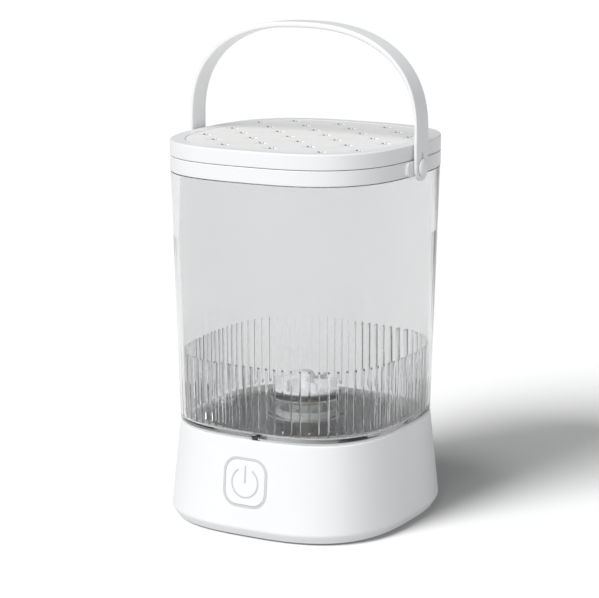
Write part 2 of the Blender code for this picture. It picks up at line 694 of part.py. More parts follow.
def lid_frame(white):
    """Lid rim with an eased top edge, a seat for the pad and a plug skirt."""
    low = RING_TOP_Z + GAP
    rings = [
        body_ring(-0.3, low),
        body_ring(0.0, low + 0.4),
        body_ring(0.0, LID_TOP_Z - 0.8),
        body_ring(-0.8, LID_TOP_Z),
        body_ring(-7.0, LID_TOP_Z),
        body_ring(PAD_OFFSET + GAP, LID_TOP_Z - 0.5),
        body_ring(PAD_OFFSET + GAP, PAD_LOW_Z - GAP),
        body_ring(-10.8, PAD_LOW_Z - GAP),
        body_ring(-10.8, 195.0),
        body_ring(-9.6, 195.0),
        body_ring(-9.6, 187.0),
        body_ring(-8.0, 187.0),
        body_ring(-8.0, low + 2.6),
        body_ring(-2.0, low + 2.6),
        body_ring(-2.0, low),
    ]
    return loft("lid_frame", rings, white, closed=True)


def slit_places():
    """Centres of the brush slits: every other node of a square grid, corners left out."""
    middle = (SLIT_GRID - 1) / 2.0
    places = []
    for column in range(SLIT_GRID):
        for row in range(SLIT_GRID):
            corner = (column, row) in ((0, 0), (SLIT_GRID - 1, SLIT_GRID - 1))
            if (column + row) % 2 == 0 and not corner:
                places.append(((column - middle) * SLIT_PITCH, (row - middle) * SLIT_PITCH))
    return places


def brush_pad(silicone):
    """Soft pad with a small hole at the heart of each star slit."""
    pad = loft("brush_pad", [body_ring(PAD_OFFSET, z) for z in (PAD_LOW_Z, PAD_TOP_Z)], silicone)
    holes = [rod("hole", SLIT_R, PAD_LOW_Z - 1.0, PAD_TOP_Z + 1.0, silicone, location=(x, y, 0), sides=6)
             for x, y in slit_places()]
    return cut(pad, *holes)


def lid_seal(silicone):
    """Sealing ring round the plug skirt."""
    rings = [body_ring(-6.75, 188.4), body_ring(-6.75, 190.0), body_ring(-7.7, 190.0), body_ring(-7.7, 188.4)]
    return loft("lid_seal", rings, silicone, closed=True)


def strap_section(outer, inner, half_width):
    """Eight points across the strap between an outer and an inner point of its path."""
    ease = min(0.4, half_width * 0.5)
    quarter = 0.25
    points = []
    for share, y in ((0.0, -half_width + ease), (0.0, half_width - ease), (quarter, half_width),
                     (1 - quarter, half_width), (1.0, half_width - ease), (1.0, -half_width + ease),
                     (1 - quarter, -half_width), (quarter, -half_width)):
        x = outer[0] + share * (inner[0] - outer[0])
        z = outer[1] + share * (inner[1] - outer[1])
        points.append((x, y, z - PIVOT_Z))
    return points


def handle(white):
    """Bail handle: rounded feet on the hinge line, straight legs, an arch above the lid."""
    foot_steps = 7
    feet_angles = [math.pi / 2 * step / foot_steps for step in range(1, foot_steps + 1)]
    tip = STRAP_HALF_WIDTH
    sections = []
    right = []
    for angle in feet_angles:
        z = PIVOT_Z - tip * math.cos(angle)
        right.append(strap_section((ARCH_OUTER[0], z), (ARCH_INNER[0], z), tip * math.sin(angle)))
    right.append(strap_section((ARCH_OUTER[0], LEG_TOP_Z), (ARCH_INNER[0], LEG_TOP_Z), tip))
    arch = []
    arch_steps = 24
    for step in range(1, arch_steps):
        angle = math.pi * step / arch_steps
        across = math.copysign(abs(math.cos(angle)) ** (2.0 / ARCH_POWER), math.cos(angle))
        rise = math.sin(angle) ** (2.0 / ARCH_POWER)
        outer = (ARCH_OUTER[0] * across, LEG_TOP_Z + ARCH_OUTER[1] * rise)
        inner = (ARCH_INNER[0] * across, LEG_TOP_Z + ARCH_INNER[1] * rise)
        arch.append(strap_section(outer, inner, tip))
    sections = right + arch + [[(-x, y, z) for x, y, z in section] for section in reversed(right)]
    bail = loft("handle", sections, white, location=(0, 0, PIVOT_Z))
    keyhole = rod("hole", PIN_SHANK_R + GAP, -72.0, 72.0, white, location=(0, 0, PIVOT_Z),
                  rotation=(0, math.pi / 2, 0), sides=16)
    join(keyhole, block("slot", (-71.0, -0.7, PIVOT_Z + 1.0), (71.0, 0.7, PIVOT_Z + 7.5), white))
    return cut(bail, keyhole)


def main():
    """Build every piece of the brush cleaner."""
    for old in list(bpy.data.objects):
        bpy.data.objects.remove(old)
    white = plastic("white_plastic", (0.90, 0.90, 0.91), 0.35)
    grey = plastic("grey_plastic", (0.62, 0.63, 0.65), 0.4)
    clear = plastic("clear_plastic", (0.93, 0.94, 0.95), 0.05, alpha=0.3)
    silicone = plastic("white_silicone", (0.88, 0.88, 0.89), 0.55)
    rubber = plastic("dark_rubber", (0.06, 0.06, 0.07), 0.8)
    black = plastic("black_plastic", (0.03, 0.03, 0.03), 0.5)
    steel = plastic("steel", (0.70, 0.71, 0.72), 0.3, metallic=1.0)
    brass = plastic("brass", (0.75, 0.60, 0.32), 0.35, metallic=1.0)
    gear_plastic = plastic("gear_plastic", (0.86, 0.84, 0.78), 0.5)
    green = plastic("board_green", (0.04, 0.22, 0.10), 0.5)
    wrap = plastic("cell_wrap", (0.08, 0.22, 0.50), 0.4)
    red = plastic("red_wire", (0.55, 0.05, 0.04), 0.5)
    base_shell(white)
    base_cover(white)
    feet(rubber)
    base_screws(steel)
    deck_mat(rubber)
    button_bezel(grey)
    power_button(white)
    motor_bracket(steel)
    motor(steel, black, brass)
    output_drive(white, gear_plastic, steel, brass, black)
    battery(white, wrap)
    control_board(green, black, steel)
    charge_board(green, steel)
    wiring(red, black)
    tank_shell(clear)
    rim_ring(white)
    pivot_pins(white)
    tank_drive(white, silicone, steel, brass)
    lid_frame(white)
    brush_pad(silicone)
    lid_seal(silicone)
    handle(white)


main()
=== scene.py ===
"""Looks of the brush cleaner: finishes, fine meshes, studio and camera around the fixed frame.

Lengths in the classes are millimetres, as on a drawing, and MM turns them into metres.
"""
import logging
import math
from dataclasses import dataclass, field
from enum import Enum
from typing import Callable, Iterable, Sequence

import bmesh
import bpy
from mathutils import Matrix, Vector


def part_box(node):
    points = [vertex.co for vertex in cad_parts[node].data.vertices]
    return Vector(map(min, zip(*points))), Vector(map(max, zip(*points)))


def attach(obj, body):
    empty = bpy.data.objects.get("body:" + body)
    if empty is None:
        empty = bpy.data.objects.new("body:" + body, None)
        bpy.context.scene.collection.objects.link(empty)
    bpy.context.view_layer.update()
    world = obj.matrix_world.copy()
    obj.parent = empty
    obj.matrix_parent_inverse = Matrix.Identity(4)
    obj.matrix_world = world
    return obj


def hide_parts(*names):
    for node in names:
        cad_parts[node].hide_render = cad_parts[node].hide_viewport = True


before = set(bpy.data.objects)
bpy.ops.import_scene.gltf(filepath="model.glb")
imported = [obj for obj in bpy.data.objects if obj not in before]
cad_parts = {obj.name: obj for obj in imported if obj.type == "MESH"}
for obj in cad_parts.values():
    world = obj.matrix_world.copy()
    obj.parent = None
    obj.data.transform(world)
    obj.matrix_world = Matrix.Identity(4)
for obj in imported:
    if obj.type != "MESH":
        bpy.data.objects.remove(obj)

MM = 0.001
LOG = logging.getLogger("brush_cleaner")

Colour = tuple[float, float, float]
Point = tuple[float, float, float]


# ------------------------------------------------------------------ shader arithmetic

class Value:
    """A shader socket that takes part in Python arithmetic."""

    def __init__(self, graph: "Graph", socket: bpy.types.NodeSocket) -> None:
        """Wrap an output socket of a graph."""
        self.graph = graph
        self.socket = socket

    def math(self, operation: str, *others: "Value | float", flip: bool = False) -> "Value":
        """Add one Math node.

        Args:
            operation: The Math node's operation.
            others: The operation's further operands.
            flip: True where this value is the second operand.

        Returns:
            The node's result.
        """
        operands = [self, *others]
        if flip:
            operands.reverse()
        made = self.graph.node("ShaderNodeMath", {"operation": operation}, *operands)
        return Value(self.graph, made.outputs[0])

    def __add__(self, other: "Value | float") -> "Value":
        """Sum."""
        return self.math("ADD", other)

    def __radd__(self, other: float) -> "Value":
        """Sum with a number on the left."""
        return self.math("ADD", other)

    def __sub__(self, other: "Value | float") -> "Value":
        """Difference."""
        return self.math("SUBTRACT", other)

    def __rsub__(self, other: float) -> "Value":
        """Difference from a number."""
        return self.math("SUBTRACT", other, flip=True)

    def __mul__(self, other: "Value | float") -> "Value":
        """Product."""
        return self.math("MULTIPLY", other)

    def __rmul__(self, other: float) -> "Value":
        """Product with a number on the left."""
        return self.math("MULTIPLY", other)

    def __truediv__(self, other: "Value | float") -> "Value":
        """Quotient."""
        return self.math("DIVIDE", other)

    def __pow__(self, other: "Value | float") -> "Value":
        """Power."""
        return self.math("POWER", other)

    def __abs__(self) -> "Value":
        """Size without sign."""
        return self.math("ABSOLUTE")

    def fraction(self) -> "Value":
        """The part after the decimal point."""
        return self.math("FRACT")

    def above(self, other: "Value | float") -> "Value":
        """1 where this value is greater, else 0."""
        return self.math("GREATER_THAN", other)

    def at_least(self, other: "Value | float") -> "Value":
        """The greater of two values."""
        return self.math("MAXIMUM", other)

    def fade(self, low: float, high: float) -> "Value":
        """A smooth step from 0 at low to 1 at high."""
        settings = {"interpolation_type": "SMOOTHSTEP"}
        made = self.graph.node("ShaderNodeMapRange", settings, self, low, high, 0.0, 1.0)
        return Value(self.graph, made.outputs[0])


class Graph:
    """A material's node tree, built from calls."""

    def __init__(self, name: str) -> None:
        """Start an empty material."""
        self.material = bpy.data.materials.new(name)
        self.material.use_nodes = True
        self.tree = self.material.node_tree
        self.tree.nodes.clear()

    def node(self, kind: str, settings: dict, *values: object, **named: object) -> bpy.types.Node:
        """Add a node.

        Args:
            kind: The node's type name.
            settings: Properties set before the inputs.
            values: Numbers or links for the first inputs, in order.
            named: Numbers or links by input name, with _ for a space.

        Returns:
            The new node.
        """
        made = self.tree.nodes.new(kind)
        for key, value in settings.items():
            setattr(made, key, value)
        pairs = list(zip(made.inputs, values))
        pairs += [(made.inputs[key.replace("_", " ")], value) for key, value in named.items()]
        for socket, value in pairs:
            if isinstance(value, Value):
                self.tree.links.new(value.socket, socket)
            elif isinstance(value, bpy.types.NodeSocket):
                self.tree.links.new(value, socket)
            elif isinstance(value, tuple) and len(value) == 3 and socket.type == "RGBA":
                socket.default_value = (*value, 1.0)
            else:
                socket.default_value = value
        return made

    def place(self) -> bpy.types.NodeSocket:
        """Object coordinates, in metres."""
        return self.node("ShaderNodeTexCoord", {}).outputs["Object"]

    def axes(self) -> tuple[Value, Value, Value]:
        """Object coordinates as three values in millimetres."""
        parts = self.node("ShaderNodeSeparateXYZ", {}, self.place())
        x, y, z = (Value(self, parts.outputs[index]) for index in range(3))
        return x * 1000.0, y * 1000.0, z * 1000.0

    def noise(self, size: float, detail: float = 2.0, stretch: Point = (1.0, 1.0, 1.0)) -> Value:
        """Soft noise from 0 to 1.

        Args:
            size: Width of one feature in millimetres.
            detail: Octaves of finer noise.
            stretch: How much each axis is drawn out.

        Returns:
            The noise's strength.
        """
        scale = tuple(1.0 / share for share in stretch)
        mapped = self.node("ShaderNodeMapping", {}, self.place(), Scale=scale).outputs[0]
        made = self.node("ShaderNodeTexNoise", {}, Vector=mapped, Scale=1000.0 / size, Detail=detail)
        return Value(self, made.outputs["Fac"])

    def blend(self, share: "Value | float", first: object, second: object) -> bpy.types.NodeSocket:
        """A colour between two others."""
        made = self.node("ShaderNodeMix", {"data_type": "RGBA"})
        for socket, value in ((made.inputs[0], share), (made.inputs[6], first),
                              (made.inputs[7], second)):
            if isinstance(value, Value):
                self.tree.links.new(value.socket, socket)
            elif isinstance(value, bpy.types.NodeSocket):
                self.tree.links.new(value, socket)
            else:
                socket.default_value = (*value, 1.0) if isinstance(value, tuple) else value
        return made.outputs[2]

    def relief(self, height: Value, depth: float, strength: float = 1.0) -> bpy.types.NodeSocket:
        """A bumped normal; depth is the relief's height in millimetres."""
        made = self.node("ShaderNodeBump", {}, Strength=strength, Distance=depth * MM, Height=height)
        return made.outputs["Normal"]

    def surface(self, lamp_pass: float = 0.0, frost: Value | None = None,
                **inputs: object) -> bpy.types.Material:
        """Close the graph with a Principled shader.

        Args:
            lamp_pass: Share of lamp light that passes straight through; 0 where the surface is opaque.
            frost: Share of the surface hidden by a milky, etched skin, or None where it has none.
            inputs: Numbers or links by input name, with _ for a space.

        Returns:
            The material.
        """
        shader = self.node("ShaderNodeBsdfPrincipled", {}, **inputs)
        if frost is not None:
            milky = self.node("ShaderNodeBsdfPrincipled", {}, Base_Color=(0.86, 0.86, 0.865),
                              Roughness=0.45)
            shader = self.node("ShaderNodeMixShader", {}, frost, shader.outputs[0], milky.outputs[0])
        if lamp_pass > 0.0:
            lamp_ray = self.node("ShaderNodeLightPath", {}).outputs["Is Shadow Ray"]
            opening = self.node("ShaderNodeBsdfTransparent", {}, (lamp_pass, lamp_pass, lamp_pass))
            shader = self.node("ShaderNodeMixShader", {}, lamp_ray, shader.outputs[0],
                               opening.outputs[0])
        output = self.node("ShaderNodeOutputMaterial", {})
        self.tree.links.new(shader.outputs[0], output.inputs["Surface"])
        return self.material


# ------------------------------------------------------------------ finishes

@dataclass(frozen=True)
class MouldedPlastic:
    """Satin injection-moulded plastic with a faint spark-eroded grain."""

    name: str
    colour: Colour
    roughness: float = 0.33
    grain: float = 0.35
    grain_depth: float = 0.004
    tone: float = 0.985

    def material(self) -> bpy.types.Material:
        """Build the material."""
        graph = Graph(self.name)
        cloud = graph.noise(38.0, 3.0)
        grain = graph.noise(self.grain, 1.0)
        darker: Colour = tuple(channel * self.tone for channel in self.colour)
        tint = graph.blend(cloud.fade(0.35, 0.7), self.colour, darker)
        gloss = self.roughness + (cloud - 0.5) * 0.08 + (grain - 0.5) * 0.05
        return graph.surface(Base_Color=tint, Roughness=gloss,
                             Normal=graph.relief(grain, self.grain_depth), IOR=1.5)


@dataclass(frozen=True)
class ClearPlastic:
    """Polished clear polymer with faint flow lines down the wall and a frosted underside.

    lamp_pass is the share of lamp light that each of its surfaces lets through to what it holds.
    """

    name: str
    colour: Colour
    roughness: float = 0.015
    refraction: float = 1.46
    lamp_pass: float = 0.7
    frost_z: float = 52.8
    frost_reach: float = 54.0
    frost_share: float = 0.8

    def material(self) -> bpy.types.Material:
        """Build the material."""
        graph = Graph(self.name)
        flow = graph.noise(9.0, 2.0, (1.0, 1.0, 14.0))
        haze = graph.noise(22.0, 3.0)
        gloss = self.roughness + haze * 0.02
        x, y, z = graph.axes()
        outer = ((x * x + y * y) ** 0.5).fade(self.frost_reach, self.frost_reach + 2.0)
        frost = (1.0 - z.fade(self.frost_z, self.frost_z + 0.4)) * outer * self.frost_share
        return graph.surface(self.lamp_pass, frost, Base_Color=self.colour, Roughness=gloss,
                             Normal=graph.relief(flow, 0.004), Transmission_Weight=1.0,
                             IOR=self.refraction)


@dataclass(frozen=True)
class SoftSilicone:
    """Matt silicone with a bloom of fine dust-holding texture."""

    name: str
    colour: Colour
    roughness: float = 0.52

    def material(self) -> bpy.types.Material:
        """Build the material."""
        graph = Graph(self.name)
        bloom = graph.noise(14.0, 4.0)
        skin = graph.noise(0.22, 2.0)
        darker: Colour = tuple(channel * 0.965 for channel in self.colour)
        tint = graph.blend(bloom.fade(0.4, 0.72), self.colour, darker)
        tint = self.with_painted_shade(graph, tint)
        gloss = self.roughness + (bloom - 0.5) * 0.15
        return graph.surface(Base_Color=tint, Roughness=gloss, Normal=graph.relief(skin, 0.006),
                             Subsurface_Weight=0.08, Subsurface_Scale=0.002, IOR=1.41)

    def with_painted_shade(self, graph: Graph, tint: bpy.types.NodeSocket) -> bpy.types.NodeSocket:
        """The colour with any painted shade; plain silicone has none."""
        return tint


@dataclass(frozen=True)
class SlitSilicone(SoftSilicone):
    """Silicone with a star slit at every other node of a square grid, with painted shadow at each: a dark
    eye down the hole and fine dark rays along the slits.
    """

    pitch: float = 13.9
    eye: float = 1.0
    ray_reach: float = 4.8
    ray_width: float = 0.34
    ray_turn: float = 15.0
    # Painted shadow colours: the eye colour stands for the shade down each hole, the ray colour for the
    # shade inside the slits.
    painted_eye_shadow: Colour = (0.16, 0.155, 0.15)
    painted_ray_shade: Colour = (0.52, 0.515, 0.505)

    def with_painted_shade(self, graph: Graph, tint: bpy.types.NodeSocket) -> bpy.types.NodeSocket:
        """The colour with painted shadow drawn in: dark eyes and rays where the shade of the holes and
        slits falls.
        """
        x, y, _ = graph.axes()
        across = x / self.pitch + 0.5
        along = y / self.pitch + 0.5
        first = ((across + along) * 0.5 + 0.5).fraction() - 0.5
        second = ((across - along) * 0.5 + 0.5).fraction() - 0.5
        near_x = (first + second) * self.pitch
        near_y = (first - second) * self.pitch
        distance = (near_x * near_x + near_y * near_y) ** 0.5
        rays: Value | None = None
        for number in range(3):
            angle = math.radians(self.ray_turn + 60.0 * number)
            aside = abs(near_y * math.cos(angle) - near_x * math.sin(angle))
            line = 1.0 - aside.fade(self.ray_width * 0.3, self.ray_width * 0.7)
            rays = line if rays is None else rays.at_least(line)
        rays = rays * (1.0 - distance.fade(self.ray_reach - 0.2, self.ray_reach))
        # Painted shadow: a darker eye over each hole and darker rays over each slit.
        eye = 1.0 - distance.fade(self.eye, self.eye + 0.12)
        return graph.blend(eye, graph.blend(rays, tint, self.painted_ray_shade), self.painted_eye_shadow)


@dataclass(frozen=True)
class DarkRubber:
    """Dark moulded rubber, dull with lighter scuffs."""

    name: str
    colour: Colour
    scuff: Colour

    def material(self) -> bpy.types.Material:
        """Build the material."""
        graph = Graph(self.name)
        skin = graph.noise(0.4, 2.0)
        wear = graph.noise(6.0, 5.0).fade(0.56, 0.75)
        tint = graph.blend(wear * 0.6, self.colour, self.scuff)
        return graph.surface(Base_Color=tint, Roughness=0.62 + skin * 0.2,
                             Normal=graph.relief(skin, 0.02), IOR=1.52)


class Lay(Enum):
    """Direction that a metal's working marks run in."""

    ALONG_Z = (1.0, 1.0, 30.0)
    PLATED = (1.0, 1.0, 1.0)


@dataclass(frozen=True)
class WorkedMetal:
    """Drawn, turned or plated metal with fine working marks."""

    name: str
    colour: Colour
    roughness: float
    lay: Lay

    def material(self) -> bpy.types.Material:
        """Build the material."""
        graph = Graph(self.name)
        marks = graph.noise(0.35, 2.0, self.lay.value)
        stain = graph.noise(7.0, 4.0).fade(0.45, 0.75)
        dull: Colour = tuple(channel * 0.82 for channel in self.colour)
        tint = graph.blend(stain * 0.5, self.colour, dull)
        gloss = self.roughness + (marks - 0.5) * 0.16 + stain * 0.08
        return graph.surface(Base_Color=tint, Metallic=1.0, Roughness=gloss,
                             Normal=graph.relief(marks, 0.006))


@dataclass(frozen=True)
class CircuitLacquer:
    """Green solder lacquer over copper tracks, with tinned pads."""

    name: str
    lacquer: Colour
    track: Colour
    tin: Colour
    pitch: float = 2.4

    def material(self) -> bpy.types.Material:
        """Build the material."""
        graph = Graph(self.name)
        x, y, z = graph.axes()
        across = x / self.pitch
        up = (y + z) / self.pitch
        rail = (abs(across.fraction() - 0.5) * 2.0).fade(0.62, 0.7)
        step = (abs((up * 0.37).fraction() - 0.5) * 2.0).fade(0.25, 0.3)
        pad_x = abs((across * 0.5).fraction() - 0.5)
        pad_y = abs((up * 0.5).fraction() - 0.5)
        pad = 1.0 - ((pad_x * pad_x + pad_y * pad_y) ** 0.5).fade(0.1, 0.13)
        chosen = graph.noise(7.0, 0.0).above(0.52)
        tracks = graph.blend(rail * step, self.lacquer, self.track)
        tint = graph.blend(pad * chosen, tracks, self.tin)
        height = rail * step * 0.5 + pad * chosen
        return graph.surface(Base_Color=tint, Roughness=0.34 + pad * 0.1, Metallic=pad * chosen * 0.9,
                             Normal=graph.relief(height, 0.04))


@dataclass(frozen=True)
class ShrinkWrap:
    """Printed sleeve of a battery cell: plain colour with one pale band and a lap seam."""

    name: str
    colour: Colour
    band: Colour
    band_low: float
    band_high: float

    def material(self) -> bpy.types.Material:
        """Build the material."""
        graph = Graph(self.name)
        x, _, _ = graph.axes()
        inside = x.fade(self.band_low - 0.1, self.band_low) * (1.0 - x.fade(self.band_high,
                                                                            self.band_high + 0.1))
        tint = graph.blend(inside, self.colour, self.band)
        wrinkle = graph.noise(3.0, 3.0, (4.0, 1.0, 1.0))
        return graph.surface(Base_Color=tint, Roughness=0.28 + wrinkle * 0.12,
                             Normal=graph.relief(wrinkle, 0.03))


@dataclass(frozen=True)
class PaleFloor:
    """Seamless studio paper."""

    name: str
    colour: Colour

    def material(self) -> bpy.types.Material:
        """Build the material."""
        graph = Graph(self.name)
        fibre = graph.noise(1.6, 4.0)
        return graph.surface(Base_Color=self.colour, Roughness=0.8 + fibre * 0.1,
                             Normal=graph.relief(fibre, 0.01))


@dataclass
class Palette:
    """Every finish on the object, made once."""

    white: bpy.types.Material = field(init=False)
    clear: bpy.types.Material = field(init=False)
    pad: bpy.types.Material = field(init=False)
    seal: bpy.types.Material = field(init=False)
    grey: bpy.types.Material = field(init=False)
    mark: bpy.types.Material = field(init=False)
    rubber: bpy.types.Material = field(init=False)
    black: bpy.types.Material = field(init=False)
    steel: bpy.types.Material = field(init=False)
    can: bpy.types.Material = field(init=False)
    brass: bpy.types.Material = field(init=False)
    acetal: bpy.types.Material = field(init=False)
    board: bpy.types.Material = field(init=False)
    wrap: bpy.types.Material = field(init=False)
    red_wire: bpy.types.Material = field(init=False)

    def __post_init__(self) -> None:
        """Build the materials."""
        self.white = MouldedPlastic("white_moulding", (0.87, 0.87, 0.875)).material()
        self.clear = ClearPlastic("clear_tank", (0.81, 0.812, 0.815)).material()
        self.pad = SlitSilicone("pad_silicone", (0.88, 0.875, 0.865)).material()
        self.seal = SoftSilicone("seal_silicone", (0.8, 0.8, 0.79)).material()
        self.grey = MouldedPlastic("grey_trim", (0.63, 0.63, 0.645), roughness=0.4).material()
        self.mark = MouldedPlastic("grey_mark", (0.58, 0.58, 0.6), roughness=0.45).material()
        self.rubber = DarkRubber("dark_rubber", (0.03, 0.03, 0.033), (0.09, 0.09, 0.095)).material()
        self.black = MouldedPlastic("black_moulding", (0.02, 0.02, 0.022), roughness=0.42,
                                    tone=0.8).material()
        self.steel = WorkedMetal("plated_steel", (0.72, 0.73, 0.74), 0.26, Lay.PLATED).material()
        self.can = WorkedMetal("drawn_can", (0.66, 0.67, 0.68), 0.32, Lay.ALONG_Z).material()
        self.brass = WorkedMetal("turned_brass", (0.74, 0.58, 0.30), 0.3, Lay.PLATED).material()
        self.acetal = MouldedPlastic("natural_acetal", (0.80, 0.78, 0.70), roughness=0.45).material()
        self.board = CircuitLacquer("board_lacquer", (0.02, 0.16, 0.07), (0.05, 0.26, 0.12),
                                    (0.75, 0.75, 0.72)).material()
        self.wrap = ShrinkWrap("cell_wrap", (0.05, 0.16, 0.42), (0.75, 0.76, 0.78), -12.0,
                               6.0).material()
        self.red_wire = MouldedPlastic("red_insulation", (0.5, 0.03, 0.03), roughness=0.4).material()


# ------------------------------------------------------------------ modelling

class Plan(Enum):
    """Which outline a level of a swept shape follows."""

    BODY = "body"
    ROUND = "round"
    RIBBED = "ribbed"


@dataclass(frozen=True)
class Corner:
    """A corner of a swept section.

    reach is the offset from the body's outline, or the radius on a round plan, and share is
    how much of the ribs' depth shows on a ribbed plan.
    """

    reach: float
    z: float
    ease: float = 0.0
    plan: Plan = Plan.BODY
    share: float = 1.0


@dataclass(frozen=True)
class Outline:
    """The body's plan: a rounded square of half sides half_x and half_y."""

    half_x: float
    half_y: float
    power: float = 2.9

    def radius(self, angle: float, offset: float = 0.0) -> float:
        """Distance from the axis to the outline, moved out by offset, at an angle."""
        across = abs(math.cos(angle)) / (self.half_x + offset)
        along = abs(math.sin(angle)) / (self.half_y + offset)
        return (across ** self.power + along ** self.power) ** (-1.0 / self.power)

    def front_y(self, x: float, offset: float) -> float:
        """Place of the front wall at x, for an outline moved out by offset."""
        share = abs(x) / (self.half_x + offset)
        return -(self.half_y + offset) * (1.0 - share ** self.power) ** (1.0 / self.power)


def eased(corners: Sequence[Corner], closed: bool, pitch: float) -> list[Corner]:
    """Replace each corner that has an ease with points along its arc.

    Args:
        corners: The section's corners in order.
        closed: True where the last corner joins the first.
        pitch: Angle between neighbouring points on an arc, in degrees.

    Returns:
        The section's points, with no ease left.
    """
    half_x = BODY.half_x
    flat = [Vector((c.reach - half_x if c.plan is Plan.ROUND else c.reach, c.z)) for c in corners]
    points: list[Corner] = []
    for index, corner in enumerate(corners):
        inner = closed or 0 < index < len(corners) - 1
        if corner.ease <= 0.0 or not inner:
            points.append(corner)
            continue
        here = flat[index]
        back = (flat[index - 1] - here)
        ahead = (flat[(index + 1) % len(corners)] - here)
        reach = min(back.length, ahead.length) * 0.49
        back.normalize()
        ahead.normalize()
        half = math.acos(max(-1.0, min(1.0, back.dot(ahead)))) / 2.0
        run = min(corner.ease / math.tan(half), reach)
        radius = run * math.tan(half)
        centre = here + (back + ahead).normalized() * (radius / math.sin(half))
        start = here + back * run - centre
        end = here + ahead * run - centre
        sweep = math.pi - 2.0 * half
        steps = max(2, round(math.degrees(sweep) / pitch))
        for step in range(steps + 1):
            share = step / steps
            blended = start * math.sin((1.0 - share) * sweep) + end * math.sin(share * sweep)
            spoke = blended / math.sin(sweep)
            spot = centre + spoke
            reach_out = spot.x + half_x if corner.plan is Plan.ROUND else spot.x
            points.append(Corner(reach_out, spot.y, 0.0, corner.plan))
    return points


@dataclass
class Sweep:
    """Carries sections round the Z axis."""

    angles: list[float]
    ribs: Callable[[float], float] | None = None
    pitch: float = 15.0

    @classmethod
    def even(cls, sides: int) -> "Sweep":
        """A sweep with evenly spaced sides."""
        return cls([2.0 * math.pi * step / sides for step in range(sides)])

    def spot(self, angle: float, corner: Corner) -> Vector:
        """Place of one point of a level, in metres."""
        if corner.plan is Plan.ROUND:
            radius = corner.reach
        else:
            radius = BODY.radius(angle, corner.reach)
            if corner.plan is Plan.RIBBED and self.ribs is not None:
                radius -= self.ribs(angle) * corner.share
        return Vector((radius * math.cos(angle), radius * math.sin(angle), corner.z)) * MM

    def solid(self, corners: Sequence[Corner], closed: bool = True) -> bmesh.types.BMesh:
        """Sweep a section into a closed surface.

        Args:
            corners: The section's corners.
            closed: True for a wall with a hole through it, False for a solid with flat ends.

        Returns:
            The surface.
        """
        levels = eased(corners, closed, self.pitch)
        shape = bmesh.new()
        made = bmesh.ops.create_circle(shape, segments=len(self.angles), radius=1.0, cap_ends=not closed)
        ring = made["verts"]
        for vertex, angle in zip(ring, self.angles):
            vertex.co = self.spot(angle, levels[0])
        first = [edge for edge in shape.edges]
        edges = first
        for level in levels[1:]:
            grown = bmesh.ops.extrude_edge_only(shape, edges=edges)["geom"]
            fresh = [item for item in grown if isinstance(item, bmesh.types.BMVert)]
            fresh_set = set(fresh)
            edges = [item for item in grown if isinstance(item, bmesh.types.BMEdge)
                     and item.verts[0] in fresh_set and item.verts[1] in fresh_set]
            for vertex in fresh:
                vertex.co = self.spot(math.atan2(vertex.co.y, vertex.co.x), level)
        if closed:
            bmesh.ops.bridge_loops(shape, edges=first + edges)
        else:
            bmesh.ops.contextual_create(shape, geom=edges)
        bmesh.ops.recalc_face_normals(shape, faces=shape.faces)
        return shape


def turned(profile: Sequence[tuple[float, float, float]], sides: int = 48,
           closed: bool = False) -> bmesh.types.BMesh:
    """A turned solid from (radius, z, ease) corners round the Z axis."""
    corners = [Corner(radius, z, ease, Plan.ROUND) for radius, z, ease in profile]
    return Sweep.even(sides).solid(corners, closed)


def rounded_square(size_x: float, size_y: float, corner: float,
                   steps: int = 8) -> list[tuple[float, float]]:
    """Outline of a rectangle with round corners, centred on the origin."""
    outline = []
    for quarter in range(4):
        middle_x = (size_x / 2.0 - corner) * (1 if quarter in (0, 3) else -1)
        middle_y = (size_y / 2.0 - corner) * (1 if quarter in (0, 1) else -1)
        for step in range(steps + 1):
            angle = math.pi / 2.0 * (quarter + step / steps)
            outline.append((middle_x + corner * math.cos(angle), middle_y + corner * math.sin(angle)))
    return outline


def prism(outline: Sequence[tuple[float, float]], low: float, high: float,
          ease: float = 0.0) -> bmesh.types.BMesh:
    """An outline in X and Y raised from low to high, with its end edges eased by a bevel."""
    shape = bmesh.new()
    made = bmesh.ops.create_circle(shape, segments=len(outline), radius=1.0, cap_ends=True)
    for vertex, (x, y) in zip(made["verts"], outline):
        vertex.co = Vector((x, y, low)) * MM
    raised = bmesh.ops.extrude_face_region(shape, geom=list(shape.faces))
    moved = [item for item in raised["geom"] if isinstance(item, bmesh.types.BMVert)]
    bmesh.ops.translate(shape, verts=moved, vec=Vector((0.0, 0.0, (high - low) * MM)))
    bmesh.ops.recalc_face_normals(shape, faces=shape.faces)
    if ease > 0.0:
        ends = [edge for edge in shape.edges
                if abs(edge.verts[0].co.z - edge.verts[1].co.z) < 1e-7 and edge.calc_face_angle(0.0) > 0.5]
        bmesh.ops.bevel(shape, geom=ends, offset=ease * MM, segments=3, profile=0.5, affect="EDGES",
                        material=-1)
    return shape


def turn_shape(shape: bmesh.types.BMesh, matrix: Matrix) -> bmesh.types.BMesh:
    """Move a whole shape and return it."""
    bmesh.ops.transform(shape, matrix=matrix, verts=shape.verts)
    return shape


def facing(axis: str, angle: float) -> Matrix:
    """A rotation about a named axis, with the angle in degrees."""
    return Matrix.Rotation(math.radians(angle), 4, axis)


def moved(x: float, y: float, z: float) -> Matrix:
    """A shift in millimetres."""
    return Matrix.Translation(Vector((x, y, z)) * MM)


def merged(shapes: Iterable[bmesh.types.BMesh]) -> bmesh.types.BMesh:
    """Put several shapes into one; the parts are used up."""
    whole = bmesh.new()
    for part in shapes:
        mesh = bpy.data.meshes.new("part")
        part.to_mesh(mesh)
        part.free()
        whole.from_mesh(mesh)
        bpy.data.meshes.remove(mesh)
    return whole


def object_of(shape: bmesh.types.BMesh, name: str) -> bpy.types.Object:
    """Turn a shape into a linked object at the origin."""
    mesh = bpy.data.meshes.new(name)
    shape.to_mesh(mesh)
    shape.free()
    made = bpy.data.objects.new(name, mesh)
    bpy.context.scene.collection.objects.link(made)
    return made


